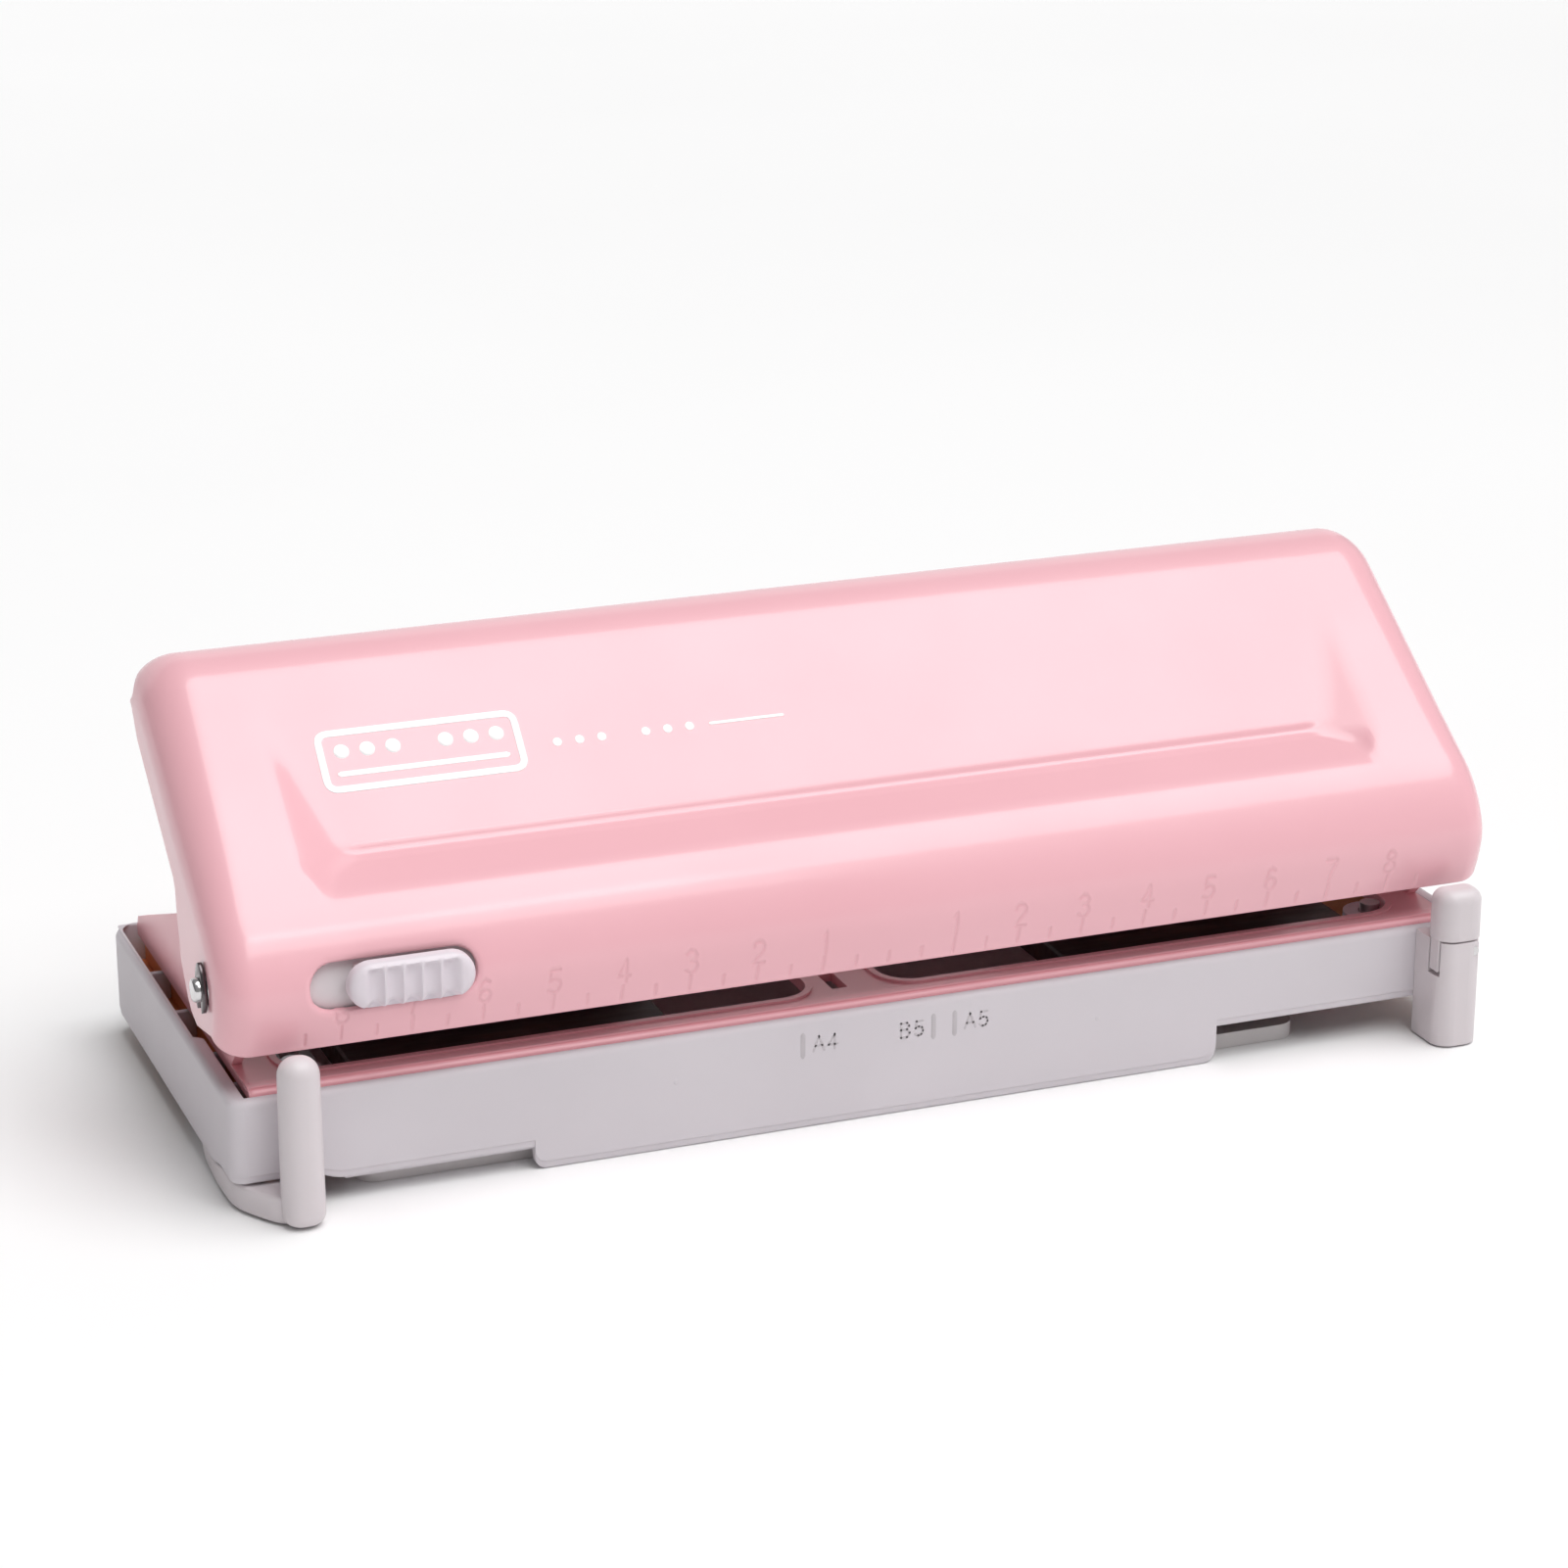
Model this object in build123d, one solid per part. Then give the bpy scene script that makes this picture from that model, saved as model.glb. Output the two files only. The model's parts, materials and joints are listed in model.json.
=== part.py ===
from build123d import *
import math
import os

# Six-hole organiser punch. Millimetres, +Z up, X along the punch, the paper slot faces -Y.
# The origin lies on the table under the zero of the handle's centimetre scale.

# --- tray -----------------------------------------------------------------------------
TRAY_HALF = 95.7
TRAY_FRONT, TRAY_BACK, TRAY_TOP = -33.0, 40.0, 16.8
WALL = 1.5
END_WALL = 1.0
APRON_HALF = 52.8
SKIRT_LEFT, SKIRT_RIGHT = 3.4, 5.6
WELL_FLOOR = 8.0

# --- base plate -----------------------------------------------------------------------
PLATE_HALF, PLATE_TOP, PLATE_T = 92.35, 17.4, 1.5
PLATE_FRONT, PLATE_BACK = -31.2, 36.5
SLOT_FRONT, SLOT_BACK = -26.8, -1.5
SLOT_OUTER, SLOT_LEFT_INNER, SLOT_RIGHT_INNER = 86.0, -8.5, 3.0
RIM_WIDTH, RIM_HEIGHT = 1.0, 0.35

# --- pivot and handle -----------------------------------------------------------------
PIVOT_Y, PIVOT_Z = -26.0, 31.0
SHAFT_R, SHAFT_PROUD, BUSH_R = 2.5, 1.8, 4.0
CLIP_GAP, SHAFT_CLIP_T, SHAFT_GROOVE_R = 0.15, 0.7, 2.0
HANDLE_HALF, HANDLE_SHIFT, SHEET = 97.0, 0.4, 1.2
FRONT_Y, NOSE_Z, NOSE_R, SLOPE = -35.0, 28.0, 17.8, 37.0
REAR_R, CREST_Z = 12.0, 67.0
END_FILLET, OUTLINE_LOW = 6.0, 10.0
DISH_HALF, DISH_LIP, DISH_STEP, DISH_TOP = 79.0, -27.3, (-21.8, 3.0), (-3.0, 0.0)
HANDLE_BOTTOM = 23.4
PRESS_ANGLE = 20.0
RUNNING = 0.05

# --- punch heads ----------------------------------------------------------------------
HOLE_PITCH, HEAD_CENTRE, HEAD_LENGTH, SCREW_IN = 19.0, 54.0, 46.5, 4.5
PIN_Y, PIN_R = -9.0, 2.75
PIN_TIP, PIN_TOP, PIN_GROOVE_R = 20.3, 38.8, 2.2
DIE_TOP, DIE_BOTTOM = 17.4, 13.6
GUIDE_Z, GUIDE_T = 20.0, 1.6
YOKE_Z, YOKE_T = 31.2, 1.5
STOP_Y = -3.5
SCREW_Y, SCREW_R, SCREW_TOP = -2.7, 0.6, 19.4
CLIP_Z, CLIP_T = 30.2, 0.8
RAIL_Y, RAIL_Z, RAIL_R = 4.5, 24.0, 2.5
PRESSER_R, PRESSER_HALF, BRACKET_T = 2.0, 84.0, 1.5
PRESSER_GAP = 0.2
STROKE = 6.0
SPRING_WIRE_R, SPRING_MEAN_R, SPRING_TURNS = 0.25, 3.55, 4

# --- lock slider ----------------------------------------------------------------------
KEYWAY_X, KEYWAY_Z, KEYWAY_L, KEYWAY_H = -72.5, 31.8, 23.4, 6.8
BUTTON_X, BUTTON_L, BUTTON_OUT = -70.6, 17.8, 2.2
LOCK_Y, LOCK_Z, LOCK_R = -15.0, 33.5, 1.0

# --- paper stops and chip cover -------------------------------------------------------
POST_X, POST_W, POST_FRONT, POST_BACK, POST_TOP = 87.3, 6.0, -41.0, -35.5, 24.5
SWING_X, SWING_Y = -86.0, 2.0
ARM_LOW, ARM_HIGH = 0.25, 3.05
CAP_X, CAP_HALF, CAP_HINGE_X, CAP_HINGE_Z = 89.4, 3.6, 91.2, 15.1
BLOCK_BACK, BLOCK_TOP = -33.05, 16.6
KNUCKLE_Y, KNUCKLE_W, CAP_PIN_R, CAP_PIN_L = -38.3, 2.2, 0.75, 5.2
CORNER_R = 2.6
COVER_LEFT, COVER_RIGHT, COVER_FRONT, COVER_BACK, COVER_T = -77.0, 68.8, -28.6, 35.6, 2.4
LEDGE_LOW, LEDGE_HIGH, LEDGE_REACH = 2.7, 4.0, 2.2
SCREW_SPOTS = [(sx * 84.0, y) for sx in (-1, 1) for y in (-22.0, 31.0)]

nodes = {}


def block(x0, x1, y0, y1, z0, z1):
    """A box between two corners."""
    size = (x1 - x0, y1 - y0, z1 - z0)
    return Pos((x0 + x1) / 2, (y0 + y1) / 2, (z0 + z1) / 2) * Box(*size)


def rod(x0, x1, y, z, r):
    """A round bar along X."""
    return Pos((x0 + x1) / 2, y, z) * Rot(0, 90, 0) * Cylinder(r, x1 - x0)


def post(x, y, z0, z1, r):
    """A round bar along Z."""
    return Pos(x, y, (z0 + z1) / 2) * Cylinder(r, z1 - z0)


def side_plate(points, x0, x1):
    """A closed outline of (y, z) points, extruded from x0 to x1."""
    face = make_face(Polyline(*[(x0, y, z) for y, z in points], close=True))
    return extrude(face, amount=x1 - x0, dir=(1, 0, 0))


def flat_plate(points, z0, z1):
    """A closed outline of (x, y) points, extruded from z0 to z1."""
    face = make_face(Polyline(*[(x, y, z0) for x, y in points], close=True))
    return extrude(face, amount=z1 - z0, dir=(0, 0, 1))


def slot_tool(x0, x1, y0, y1, z0, z1, r):
    """A box with its four upright edges rounded."""
    return fillet(block(x0, x1, y0, y1, z0, z1).edges().filter_by(Axis.Z), r)


def both_sides(shape):
    """A shape and its mirror image across the middle of the punch."""
    return shape + mirror(shape, about=Plane.YZ)


# --- tray -----------------------------------------------------------------------------
def tray():
    """White moulded tray: outer skirt, inner end walls, ribs, slide ledges, screw bosses."""
    outer = block(-TRAY_HALF, TRAY_HALF, TRAY_FRONT, TRAY_BACK, 0, TRAY_TOP)
    uprights = outer.edges().filter_by(Axis.Z).sort_by(Axis.Y)
    outer = fillet(uprights[2:], 4.0)
    outer = fillet(outer.edges().filter_by(Axis.Z).sort_by(Axis.Y)[:2], 1.5)
    inner = block(-TRAY_HALF + END_WALL, TRAY_HALF - END_WALL, TRAY_FRONT + WALL,
                  TRAY_BACK - WALL, -1, TRAY_TOP + 1)
    inner = fillet(inner.edges().filter_by(Axis.Z).sort_by(Axis.Y)[2:], 3.0)
    body = outer - inner
    for side, skirt in ((-1, SKIRT_LEFT), (1, SKIRT_RIGHT)):
        x0, x1 = sorted((side * APRON_HALF, side * (TRAY_HALF + 1)))
        body -= block(x0, x1, TRAY_FRONT - 1, TRAY_BACK + 1, -1, skirt)
    ledges = [(TRAY_FRONT + WALL, COVER_FRONT + LEDGE_REACH),
              (COVER_BACK - LEDGE_REACH, TRAY_BACK - WALL)]
    for y0, y1 in ledges:
        body += block(-TRAY_HALF + 16, APRON_HALF, y0, y1, LEDGE_LOW, LEDGE_HIGH)
    inner_x = PLATE_HALF - 1.4
    for side, skirt in ((-1, SKIRT_LEFT), (1, SKIRT_RIGHT)):
        x0, x1 = sorted((side * inner_x, side * (inner_x - 1.4)))
        body += block(x0, x1, TRAY_FRONT + WALL, TRAY_BACK - WALL, skirt + 0.2, 15.6)
        x0, x1 = sorted((side * (TRAY_HALF - END_WALL), side * inner_x))
        body += block(x0, x1, TRAY_FRONT + WALL, TRAY_BACK - WALL, WELL_FLOOR - 1.2, WELL_FLOOR)
        for y in (-22.5, -11.0, 6.0, 22.0):
            body += block(x0, x1, y - 0.5, y + 0.5, WELL_FLOOR, 15.2)
    for x, y in SCREW_SPOTS:
        body += post(x, y, 6.6, PLATE_TOP - PLATE_T, 4.0)
        x0, x1 = sorted((x, math.copysign(inner_x - 0.7, x)))
        body += block(x0, x1, y - 0.8, y + 0.8, 6.6, 15.4)
        body -= post(x, y, 6.0, 9.0, 3.0)
        body -= post(x, y, 6.0, 20.0, 1.6)
    boss = post(SWING_X, SWING_Y, ARM_HIGH + 0.3, 15.0, 4.0)
    body += boss - post(SWING_X, SWING_Y, ARM_HIGH, 12.0, 1.25)
    return body


def chip_cover():
    """Sliding bottom cover: a slab under the ledges, a neck, and a top flange over them."""
    slab = block(COVER_LEFT, COVER_RIGHT, COVER_FRONT, COVER_BACK, 0, COVER_T)
    slab = fillet(slab.edges().filter_by(Axis.Z), 3.0)
    gap = 0.35
    neck_y0 = COVER_FRONT + LEDGE_REACH + gap
    neck_y1 = COVER_BACK - LEDGE_REACH - gap
    neck = block(COVER_LEFT + 3, 40.0, neck_y0, neck_y1, COVER_T, LEDGE_HIGH + gap)
    flange = block(COVER_LEFT + 3, 40.0, neck_y0 - 1.8, neck_y1 + 1.8,
                   LEDGE_HIGH + gap, LEDGE_HIGH + gap + 0.9)
    cover = slab + neck + flange
    for i in range(5):
        x = COVER_RIGHT - 5.0 - 2.6 * i
        cover -= block(x - 0.6, x + 0.6, -12.0, 19.0, -0.1, 0.6)
    return cover


# --- base -----------------------------------------------------------------------------
def side_flange():
    """Upright lug at one end of the base plate, which carries the pivot shaft and the rail."""
    outline = [(-21.0, PLATE_TOP - 0.2), (-30.5, 26.5), (-32.4, 31.0), (-30.5, 36.0),
               (-26.0, 38.2), (-17.0, 38.0), (8.2, 29.1), (35.5, 19.1), (36.5, PLATE_TOP - 0.2)]
    flange = side_plate(outline, -PLATE_HALF, -PLATE_HALF + PLATE_T)
    flange -= rod(-PLATE_HALF - 1, -PLATE_HALF + 3, PIVOT_Y, PIVOT_Z, SHAFT_R)
    flange -= rod(-PLATE_HALF - 1, -PLATE_HALF + 3, RAIL_Y, RAIL_Z, RAIL_R)
    return flange


def turned(y, z, degrees):
    """A (y, z) point carried by the handle as its rear goes down by an angle."""
    a = math.radians(degrees)
    dy, dz = y - PIVOT_Y, z - PIVOT_Z
    return (PIVOT_Y + dy * math.cos(a) + dz * math.sin(a),
            PIVOT_Z - dy * math.sin(a) + dz * math.cos(a))


def base_plate():
    """Pressed steel plate: slots with raised rims, rolled front edge, lugs, lock holes."""
    plate = block(-PLATE_HALF, PLATE_HALF, PLATE_FRONT, PLATE_BACK, PLATE_TOP - PLATE_T, PLATE_TOP)
    lip = block(-PLATE_HALF + 3, PLATE_HALF - 3, PLATE_FRONT, PLATE_FRONT + 1.3, 13.2, PLATE_TOP)
    plate += lip
    plate = fillet(plate.edges().filter_by(Axis.X).group_by(Axis.Z)[-1].sort_by(Axis.Y)[:1], 1.2)
    flanges = both_sides(side_flange())
    plate += flanges
    spans = ((-SLOT_OUTER, SLOT_LEFT_INNER), (SLOT_RIGHT_INNER, SLOT_OUTER))
    for x0, x1 in spans:
        plate += slot_tool(x0 - RIM_WIDTH, x1 + RIM_WIDTH, SLOT_FRONT - RIM_WIDTH,
                           SLOT_BACK + RIM_WIDTH, PLATE_TOP - 0.5, PLATE_TOP + RIM_HEIGHT, 6.0)
    for x0, x1 in spans:
        plate -= slot_tool(x0, x1, SLOT_FRONT, SLOT_BACK, 12, 20, 5.0)
    plate -= block(-5.4, -3.0, -25.4, -19.0, 12, 20)
    for x, y in SCREW_SPOTS:
        plate -= post(x, y, 12, 20, 1.5)
    pressed = turned(LOCK_Y, LOCK_Z, PRESS_ANGLE)
    for y, z in ((LOCK_Y, LOCK_Z), pressed):
        plate -= rod(-PLATE_HALF - 1, -PLATE_HALF + 3, y, z, LOCK_R + 0.4)
    return plate


def e_clip(x, y, z, groove_r, outer_r, thickness):
    """Open retaining ring across X, its mouth facing down."""
    ring = rod(x, x + thickness, y, z, outer_r) - rod(x - 1, x + thickness + 1, y, z, groove_r)
    return ring - block(x - 1, x + thickness + 1, y - 1.2, y + 1.2, z - outer_r - 1, z)


def clip_places():
    """Lowest X of each shaft clip, just outside the handle's ends."""
    half = HANDLE_HALF + CLIP_GAP
    return [HANDLE_SHIFT - half - SHAFT_CLIP_T, HANDLE_SHIFT + half]


def pivot_shaft():
    """Plated steel shaft with a clip groove at each end."""
    half = HANDLE_HALF + SHAFT_PROUD
    shaft = rod(HANDLE_SHIFT - half, HANDLE_SHIFT + half, PIVOT_Y, PIVOT_Z, SHAFT_R)
    shaft = chamfer(shaft.edges().filter_by(GeomType.CIRCLE), 0.4)
    for x in clip_places():
        ring = rod(x, x + SHAFT_CLIP_T, PIVOT_Y, PIVOT_Z, SHAFT_R + 1)
        shaft -= ring - rod(x - 1, x + 2, PIVOT_Y, PIVOT_Z, SHAFT_GROOVE_R)
    return shaft


def pivot_clips():
    """The two retaining clips on the shaft's ends."""
    return Compound(children=[e_clip(x, PIVOT_Y, PIVOT_Z, SHAFT_GROOVE_R, 4.6, SHAFT_CLIP_T)
                              for x in clip_places()])


def pivot_bushes():
    """Spacer bushes between the base's lugs and the handle's ends."""
    inner, outer = PLATE_HALF + 0.1, HANDLE_HALF - HANDLE_SHIFT - SHEET - 0.2
    bush = rod(inner, outer, PIVOT_Y, PIVOT_Z, BUSH_R)
    bush -= rod(inner - 1, outer + 1, PIVOT_Y, PIVOT_Z, SHAFT_R)
    return Compound(children=[bush, mirror(bush, about=Plane.YZ)])


def base_screws():
    """Four pan-head screws that hold the base plate on the tray's bosses."""
    group = []
    for x, y in SCREW_SPOTS:
        head = Pos(x, y, 8.1) * Cylinder(2.7, 1.8)
        recess = block(x - 1.6, x + 1.6, y - 0.4, y + 0.4, 7.0, 8.0)
        recess += block(x - 0.4, x + 0.4, y - 1.6, y + 1.6, 7.0, 8.0)
        group.append((head - recess) + post(x, y, 9.0, PLATE_TOP - 0.1, 1.5))
    return Compound(children=group)


# --- handle ---------------------------------------------------------------------------
def nose_point(radius, share):
    """A (y, z) point on the nose arc: share 0 at the upright front, 1 where the slope starts."""
    a = math.radians((90 - SLOPE) * share)
    return FRONT_Y + NOSE_R - radius * math.cos(a), NOSE_Z + radius * math.sin(a)


def rear_point(radius, share):
    """A (y, z) point on the rear roll: share 0 where the slope ends, 1 at the upright rear."""
    a = math.radians(SLOPE)
    y, z = nose_point(NOSE_R, 1.0)
    centre_z = CREST_Z - REAR_R
    centre_y = y + (centre_z + REAR_R * math.cos(a) - z) / math.tan(a) + REAR_R * math.sin(a)
    turn = (math.pi / 2 + a) * share - a
    return centre_y + radius * math.sin(turn), centre_z + radius * math.cos(turn)


def handle_outline(inset, x):
    """Closed wire of the handle's section, inset from its outer skin, in the plane at x."""
    r1, r2 = NOSE_R - inset, REAR_R - inset

    def at(point):
        return (x, point[0], point[1])

    front_low = at((FRONT_Y + inset, OUTLINE_LOW))
    rear_low = at((rear_point(r2, 1.0)[0], OUTLINE_LOW))
    nose = [at(nose_point(r1, share)) for share in (0, 0.5, 1)]
    rear = [at(rear_point(r2, share)) for share in (0, 0.5, 1)]
    return Wire([Line(front_low, nose[0]), ThreePointArc(*nose), Line(nose[2], rear[0]),
                 ThreePointArc(*rear), Line(rear[2], rear_low), Line(rear_low, front_low)])


def slope_point(y, depth):
    """A (y, z) point on the slope at y, sunk by a depth square to it."""
    a = math.radians(SLOPE)
    start_y, start_z = nose_point(NOSE_R, 1.0)
    z = start_z + (y - start_y) * math.tan(a)
    return y + depth * math.sin(a), z - depth * math.cos(a)


def dish_tool(inset):
    """Wedge that sinks the palm rest: shallow at the top, deep at its lower step."""
    step_y, step_depth = DISH_STEP
    outline = [slope_point(DISH_LIP, inset), slope_point(step_y, step_depth + inset),
               slope_point(DISH_TOP[0], inset), slope_point(DISH_TOP[0], -20.0),
               slope_point(DISH_LIP, -20.0)]
    half = DISH_HALF + inset
    return side_plate(outline, HANDLE_SHIFT - half, HANDLE_SHIFT + half)


def handle_solid(inset):
    """The handle's volume before hollowing, with rounded ends and the dish."""
    half = HANDLE_HALF - inset
    start = HANDLE_SHIFT - half
    body = extrude(make_face(handle_outline(inset, start)), amount=2 * half, dir=(1, 0, 0))
    ends = body.faces().filter_by(Axis.X)
    rim = [e for f in ends for e in f.edges() if e.center().Z > OUTLINE_LOW + 2]
    body = fillet(rim, END_FILLET - inset)
    return body - dish_tool(inset)


def handle_shell():
    """Pressed steel handle: a hollow hood with end flanges, keyway and pivot holes."""
    shell = handle_solid(0.0) - handle_solid(SHEET)
    rim = [(-60.0, HANDLE_BOTTOM), (-20.5, HANDLE_BOTTOM), (-15.5, 25.5), (-12.0, 30.0),
           (-10.6, 36.3), (-10.0, 41.0), (13.0, 60.6), (16.0, 60.0), (60.0, 58.0),
           (60.0, 0.0), (-60.0, 0.0)]
    shell -= side_plate(rim, -120, 120)
    key = Pos(KEYWAY_X, -34.0, KEYWAY_Z) * Rot(90, 0, 0) * extrude(
        SlotOverall(KEYWAY_L, KEYWAY_H), amount=4, both=True)
    shell -= key
    shell -= rod(-120, 120, PIVOT_Y, PIVOT_Z, SHAFT_R + RUNNING)
    return shell


def presser_axis():
    """Centre of the presser rod at rest: just above the pins, and one stroke down when pressed."""
    travel = math.radians(PRESS_ANGLE)
    rise = PIN_TOP + PRESSER_GAP + PRESSER_R - PIVOT_Z
    run = (STROKE - rise * (1 - math.cos(travel))) / math.sin(travel)
    return PIVOT_Y + run, PIVOT_Z + rise


def presser_rod():
    """Rod under the hood that pushes all the punch pins down."""
    y, z = presser_axis()
    return rod(-PRESSER_HALF, PRESSER_HALF, y, z, PRESSER_R)


def floor_point(y, depth):
    """A (y, z) point on the dish's floor line at y, sunk by a depth."""
    (y0, z0), (y1, z1) = slope_point(*DISH_STEP), slope_point(*DISH_TOP)
    z = z0 + (y - y0) * (z1 - z0) / (y1 - y0)
    return y, z - depth


def presser_brackets():
    """Three webs that hang the presser rod from the hood: two beside the dish, one under it."""
    y, z = presser_axis()
    webs = []
    for x, skin, clearance, foot_w in ((-83.0, slope_point, 0.05, 1.5), (0.0, floor_point, 0.5, 5.5),
                                       (83.0, slope_point, 0.05, 1.5)):
        depth = SHEET + clearance
        high, low = skin(y + 6.0, depth), skin(y - 6.5, depth)
        x0 = x - BRACKET_T / 2
        web = side_plate([(y - 4.5, z - 0.5), (y - 2.0, z - 2.9), (y + 2.0, z - 2.9),
                          (y + 4.5, z - 0.5), high, low], x0, x0 + BRACKET_T)
        foot = side_plate([high, low, skin(y - 6.5, depth + 1.2), skin(y + 6.0, depth + 1.2)],
                          x0, x0 + foot_w)
        webs.append(web + foot - rod(-120, 120, y, z, PRESSER_R))
    return Compound(children=webs)


# --- lock slider ----------------------------------------------------------------------
def lock_slider():
    """Fluted thumb button with its neck, back plate, arm and lock pin."""
    half = BUTTON_L / 2
    face_y = FRONT_Y - BUTTON_OUT
    button = Pos(BUTTON_X, face_y + 1.1, KEYWAY_Z + 0.4) * Rot(90, 0, 0) * extrude(
        SlotOverall(BUTTON_L, 6.6), amount=1.1, both=True)
    button = fillet(button.faces().sort_by(Axis.Y)[0].edges(), 0.7)
    for i in range(5):
        x = BUTTON_X + (i - 2) * 2.6
        button -= Pos(x, face_y - 0.45, KEYWAY_Z) * Cylinder(0.9, 12)
    neck = block(BUTTON_X - half + 1.6, BUTTON_X + half - 1.6, face_y + 2.0, -31.6,
                 KEYWAY_Z - 2.9, KEYWAY_Z + 2.2)
    back = block(BUTTON_X - 14.6, BUTTON_X + 10.0, -31.9, -30.7, 26.8, 34.6)
    arm_x0, arm_x1 = -85.5, -84.3
    arm = side_plate([(-31.9, 26.8), (-30.7, 26.8), (-30.7, 34.0), (-27.5, 36.4),
                      (LOCK_Y - 2.0, 36.0), (LOCK_Y + 1.8, 31.7), (LOCK_Y + 1.8, 37.6),
                      (-28.5, 38.6), (-31.9, 35.4)], arm_x0, arm_x1)
    arm += rod(arm_x0, arm_x1, LOCK_Y, LOCK_Z, 2.6)
    pin = rod(-90.3, arm_x0, LOCK_Y, LOCK_Z, LOCK_R)
    return button + neck + back + arm + pin


# --- punch heads ----------------------------------------------------------------------
def head_ends(side):
    """Lowest and highest X of the head on one side."""
    return side * HEAD_CENTRE - HEAD_LENGTH / 2, side * HEAD_CENTRE + HEAD_LENGTH / 2


def head_pin_xs(side):
    """X of the three punch pins of the head on one side."""
    return [side * HEAD_CENTRE + i * HOLE_PITCH for i in (-1, 0, 1)]


def die_bar(side):
    """Blackened die block in the base plate's slot, with three die holes."""
    x0, x1 = head_ends(side)
    gap = 0.3
    upper = block(x0, x1, SLOT_FRONT + gap, SLOT_BACK - gap, DIE_BOTTOM + 1.9, DIE_TOP)
    upper = chamfer(upper.faces().sort_by(Axis.Z)[-1].edges(), 0.35)
    lower = block(x0, x1, SLOT_FRONT - 1.9, SLOT_BACK + 1.9, DIE_BOTTOM, DIE_BOTTOM + 2.0)
    bar = upper + lower
    for x in head_pin_xs(side):
        bar -= post(x, PIN_Y, 10, 20, PIN_R + RUNNING)
        bar -= post(x, PIN_Y, 10, DIE_TOP - 2.2, PIN_R + 0.7)
    for x in (x0 + SCREW_IN, x1 - SCREW_IN):
        bar -= post(x, SCREW_Y, 10, 20, SCREW_R)
    return bar


def head_frame(side):
    """Folded steel yoke: foot, back wall that stops the paper, two guide plates, rail ears."""
    x0, x1 = head_ends(side)
    frame = block(x0, x1, STOP_Y, STOP_Y + 1.6, DIE_TOP, YOKE_Z + YOKE_T)
    frame += block(x0, x1, -15.5, STOP_Y + 1.6, GUIDE_Z, GUIDE_Z + GUIDE_T)
    frame += block(x0, x1, -15.5, STOP_Y + 1.6, YOKE_Z, YOKE_Z + YOKE_T)
    for x in (x0, x1 - 1.5):
        frame += side_plate([(STOP_Y + 1.6, 19.6), (6.5, 19.6), (8.6, 22.0), (8.6, 26.0),
                             (6.5, 28.4), (STOP_Y + 1.6, 31.0)], x, x + 1.5)
    for x in (side * HEAD_CENTRE - HOLE_PITCH / 2, side * HEAD_CENTRE + HOLE_PITCH / 2):
        frame += block(x - 0.75, x + 0.75, -12.5, STOP_Y + 0.1, GUIDE_Z + GUIDE_T - 0.1, YOKE_Z + 0.1)
    frame -= rod(-120, 120, RAIL_Y, RAIL_Z, RAIL_R + RUNNING)
    for x in head_pin_xs(side):
        frame -= post(x, PIN_Y, 18, 40, PIN_R + RUNNING)
    for x in (x0 + SCREW_IN, x1 - SCREW_IN):
        frame -= post(x, SCREW_Y, DIE_TOP - 1, SCREW_TOP, SCREW_R)
    return frame


def head_screws(side):
    """Two small screws from below that hold the yoke's back wall on the die block."""
    group = []
    x0, x1 = head_ends(side)
    for x in (x0 + SCREW_IN, x1 - SCREW_IN):
        head = post(x, SCREW_Y, DIE_BOTTOM - 0.9, DIE_BOTTOM, 1.5)
        group.append(head + post(x, SCREW_Y, DIE_BOTTOM - 0.2, SCREW_TOP, SCREW_R))
    return Compound(children=group)


def punch_pin(x):
    """Hardened punch pin with a notched cutting tip, a clip groove and a domed top."""
    pin = post(x, PIN_Y, PIN_TIP, PIN_TOP, PIN_R)
    pin = fillet(pin.edges().sort_by(Axis.Z)[-1:], 0.9)
    ring = post(x, PIN_Y, CLIP_Z, CLIP_Z + CLIP_T, PIN_R + 1)
    ring -= post(x, PIN_Y, CLIP_Z - 1, CLIP_Z + 2, PIN_GROOVE_R)
    notch = side_plate([(PIN_Y - 1.9, PIN_TIP - 0.5), (PIN_Y + 1.9, PIN_TIP - 0.5),
                        (PIN_Y, PIN_TIP + 1.4)], x - 4, x + 4)
    return pin - ring - notch


def pin_clip(x):
    """Retaining ring on a punch pin: the return spring's upper seat."""
    ring = post(x, PIN_Y, CLIP_Z, CLIP_Z + CLIP_T, 4.4)
    ring -= post(x, PIN_Y, CLIP_Z - 1, CLIP_Z + 2, PIN_GROOVE_R)
    return ring - block(x - 1.3, x + 1.3, PIN_Y - 6, PIN_Y, CLIP_Z - 1, CLIP_Z + 2)


def pin_spring(x):
    """Return spring of one punch pin, between the lower guide plate and the clip."""
    low = GUIDE_Z + GUIDE_T + SPRING_WIRE_R + 0.02
    high = CLIP_Z - SPRING_WIRE_R - 0.02
    path = Pos(x, PIN_Y, low) * Helix((high - low) / SPRING_TURNS, high - low, SPRING_MEAN_R)
    section = Plane(path @ 0, z_dir=path % 0) * Circle(SPRING_WIRE_R)
    return sweep(section, path=path, is_frenet=True)


def rail():
    """Round rail behind the heads, which keeps them square as they slide."""
    return rod(-PLATE_HALF, PLATE_HALF, RAIL_Y, RAIL_Z, RAIL_R)


# --- paper stops ----------------------------------------------------------------------
def rounded_post(x, z0, z1, y0, y1):
    """Upright with rounded corners and a domed top."""
    body = block(x - POST_W / 2, x + POST_W / 2, y0, y1, z0, z1)
    body = fillet(body.edges().filter_by(Axis.Z), 2.4)
    body = fillet(body.faces().sort_by(Axis.Z)[0].edges(), 1.0)
    return fillet(body.faces().sort_by(Axis.Z)[-1].edges(), 2.3)


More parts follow.
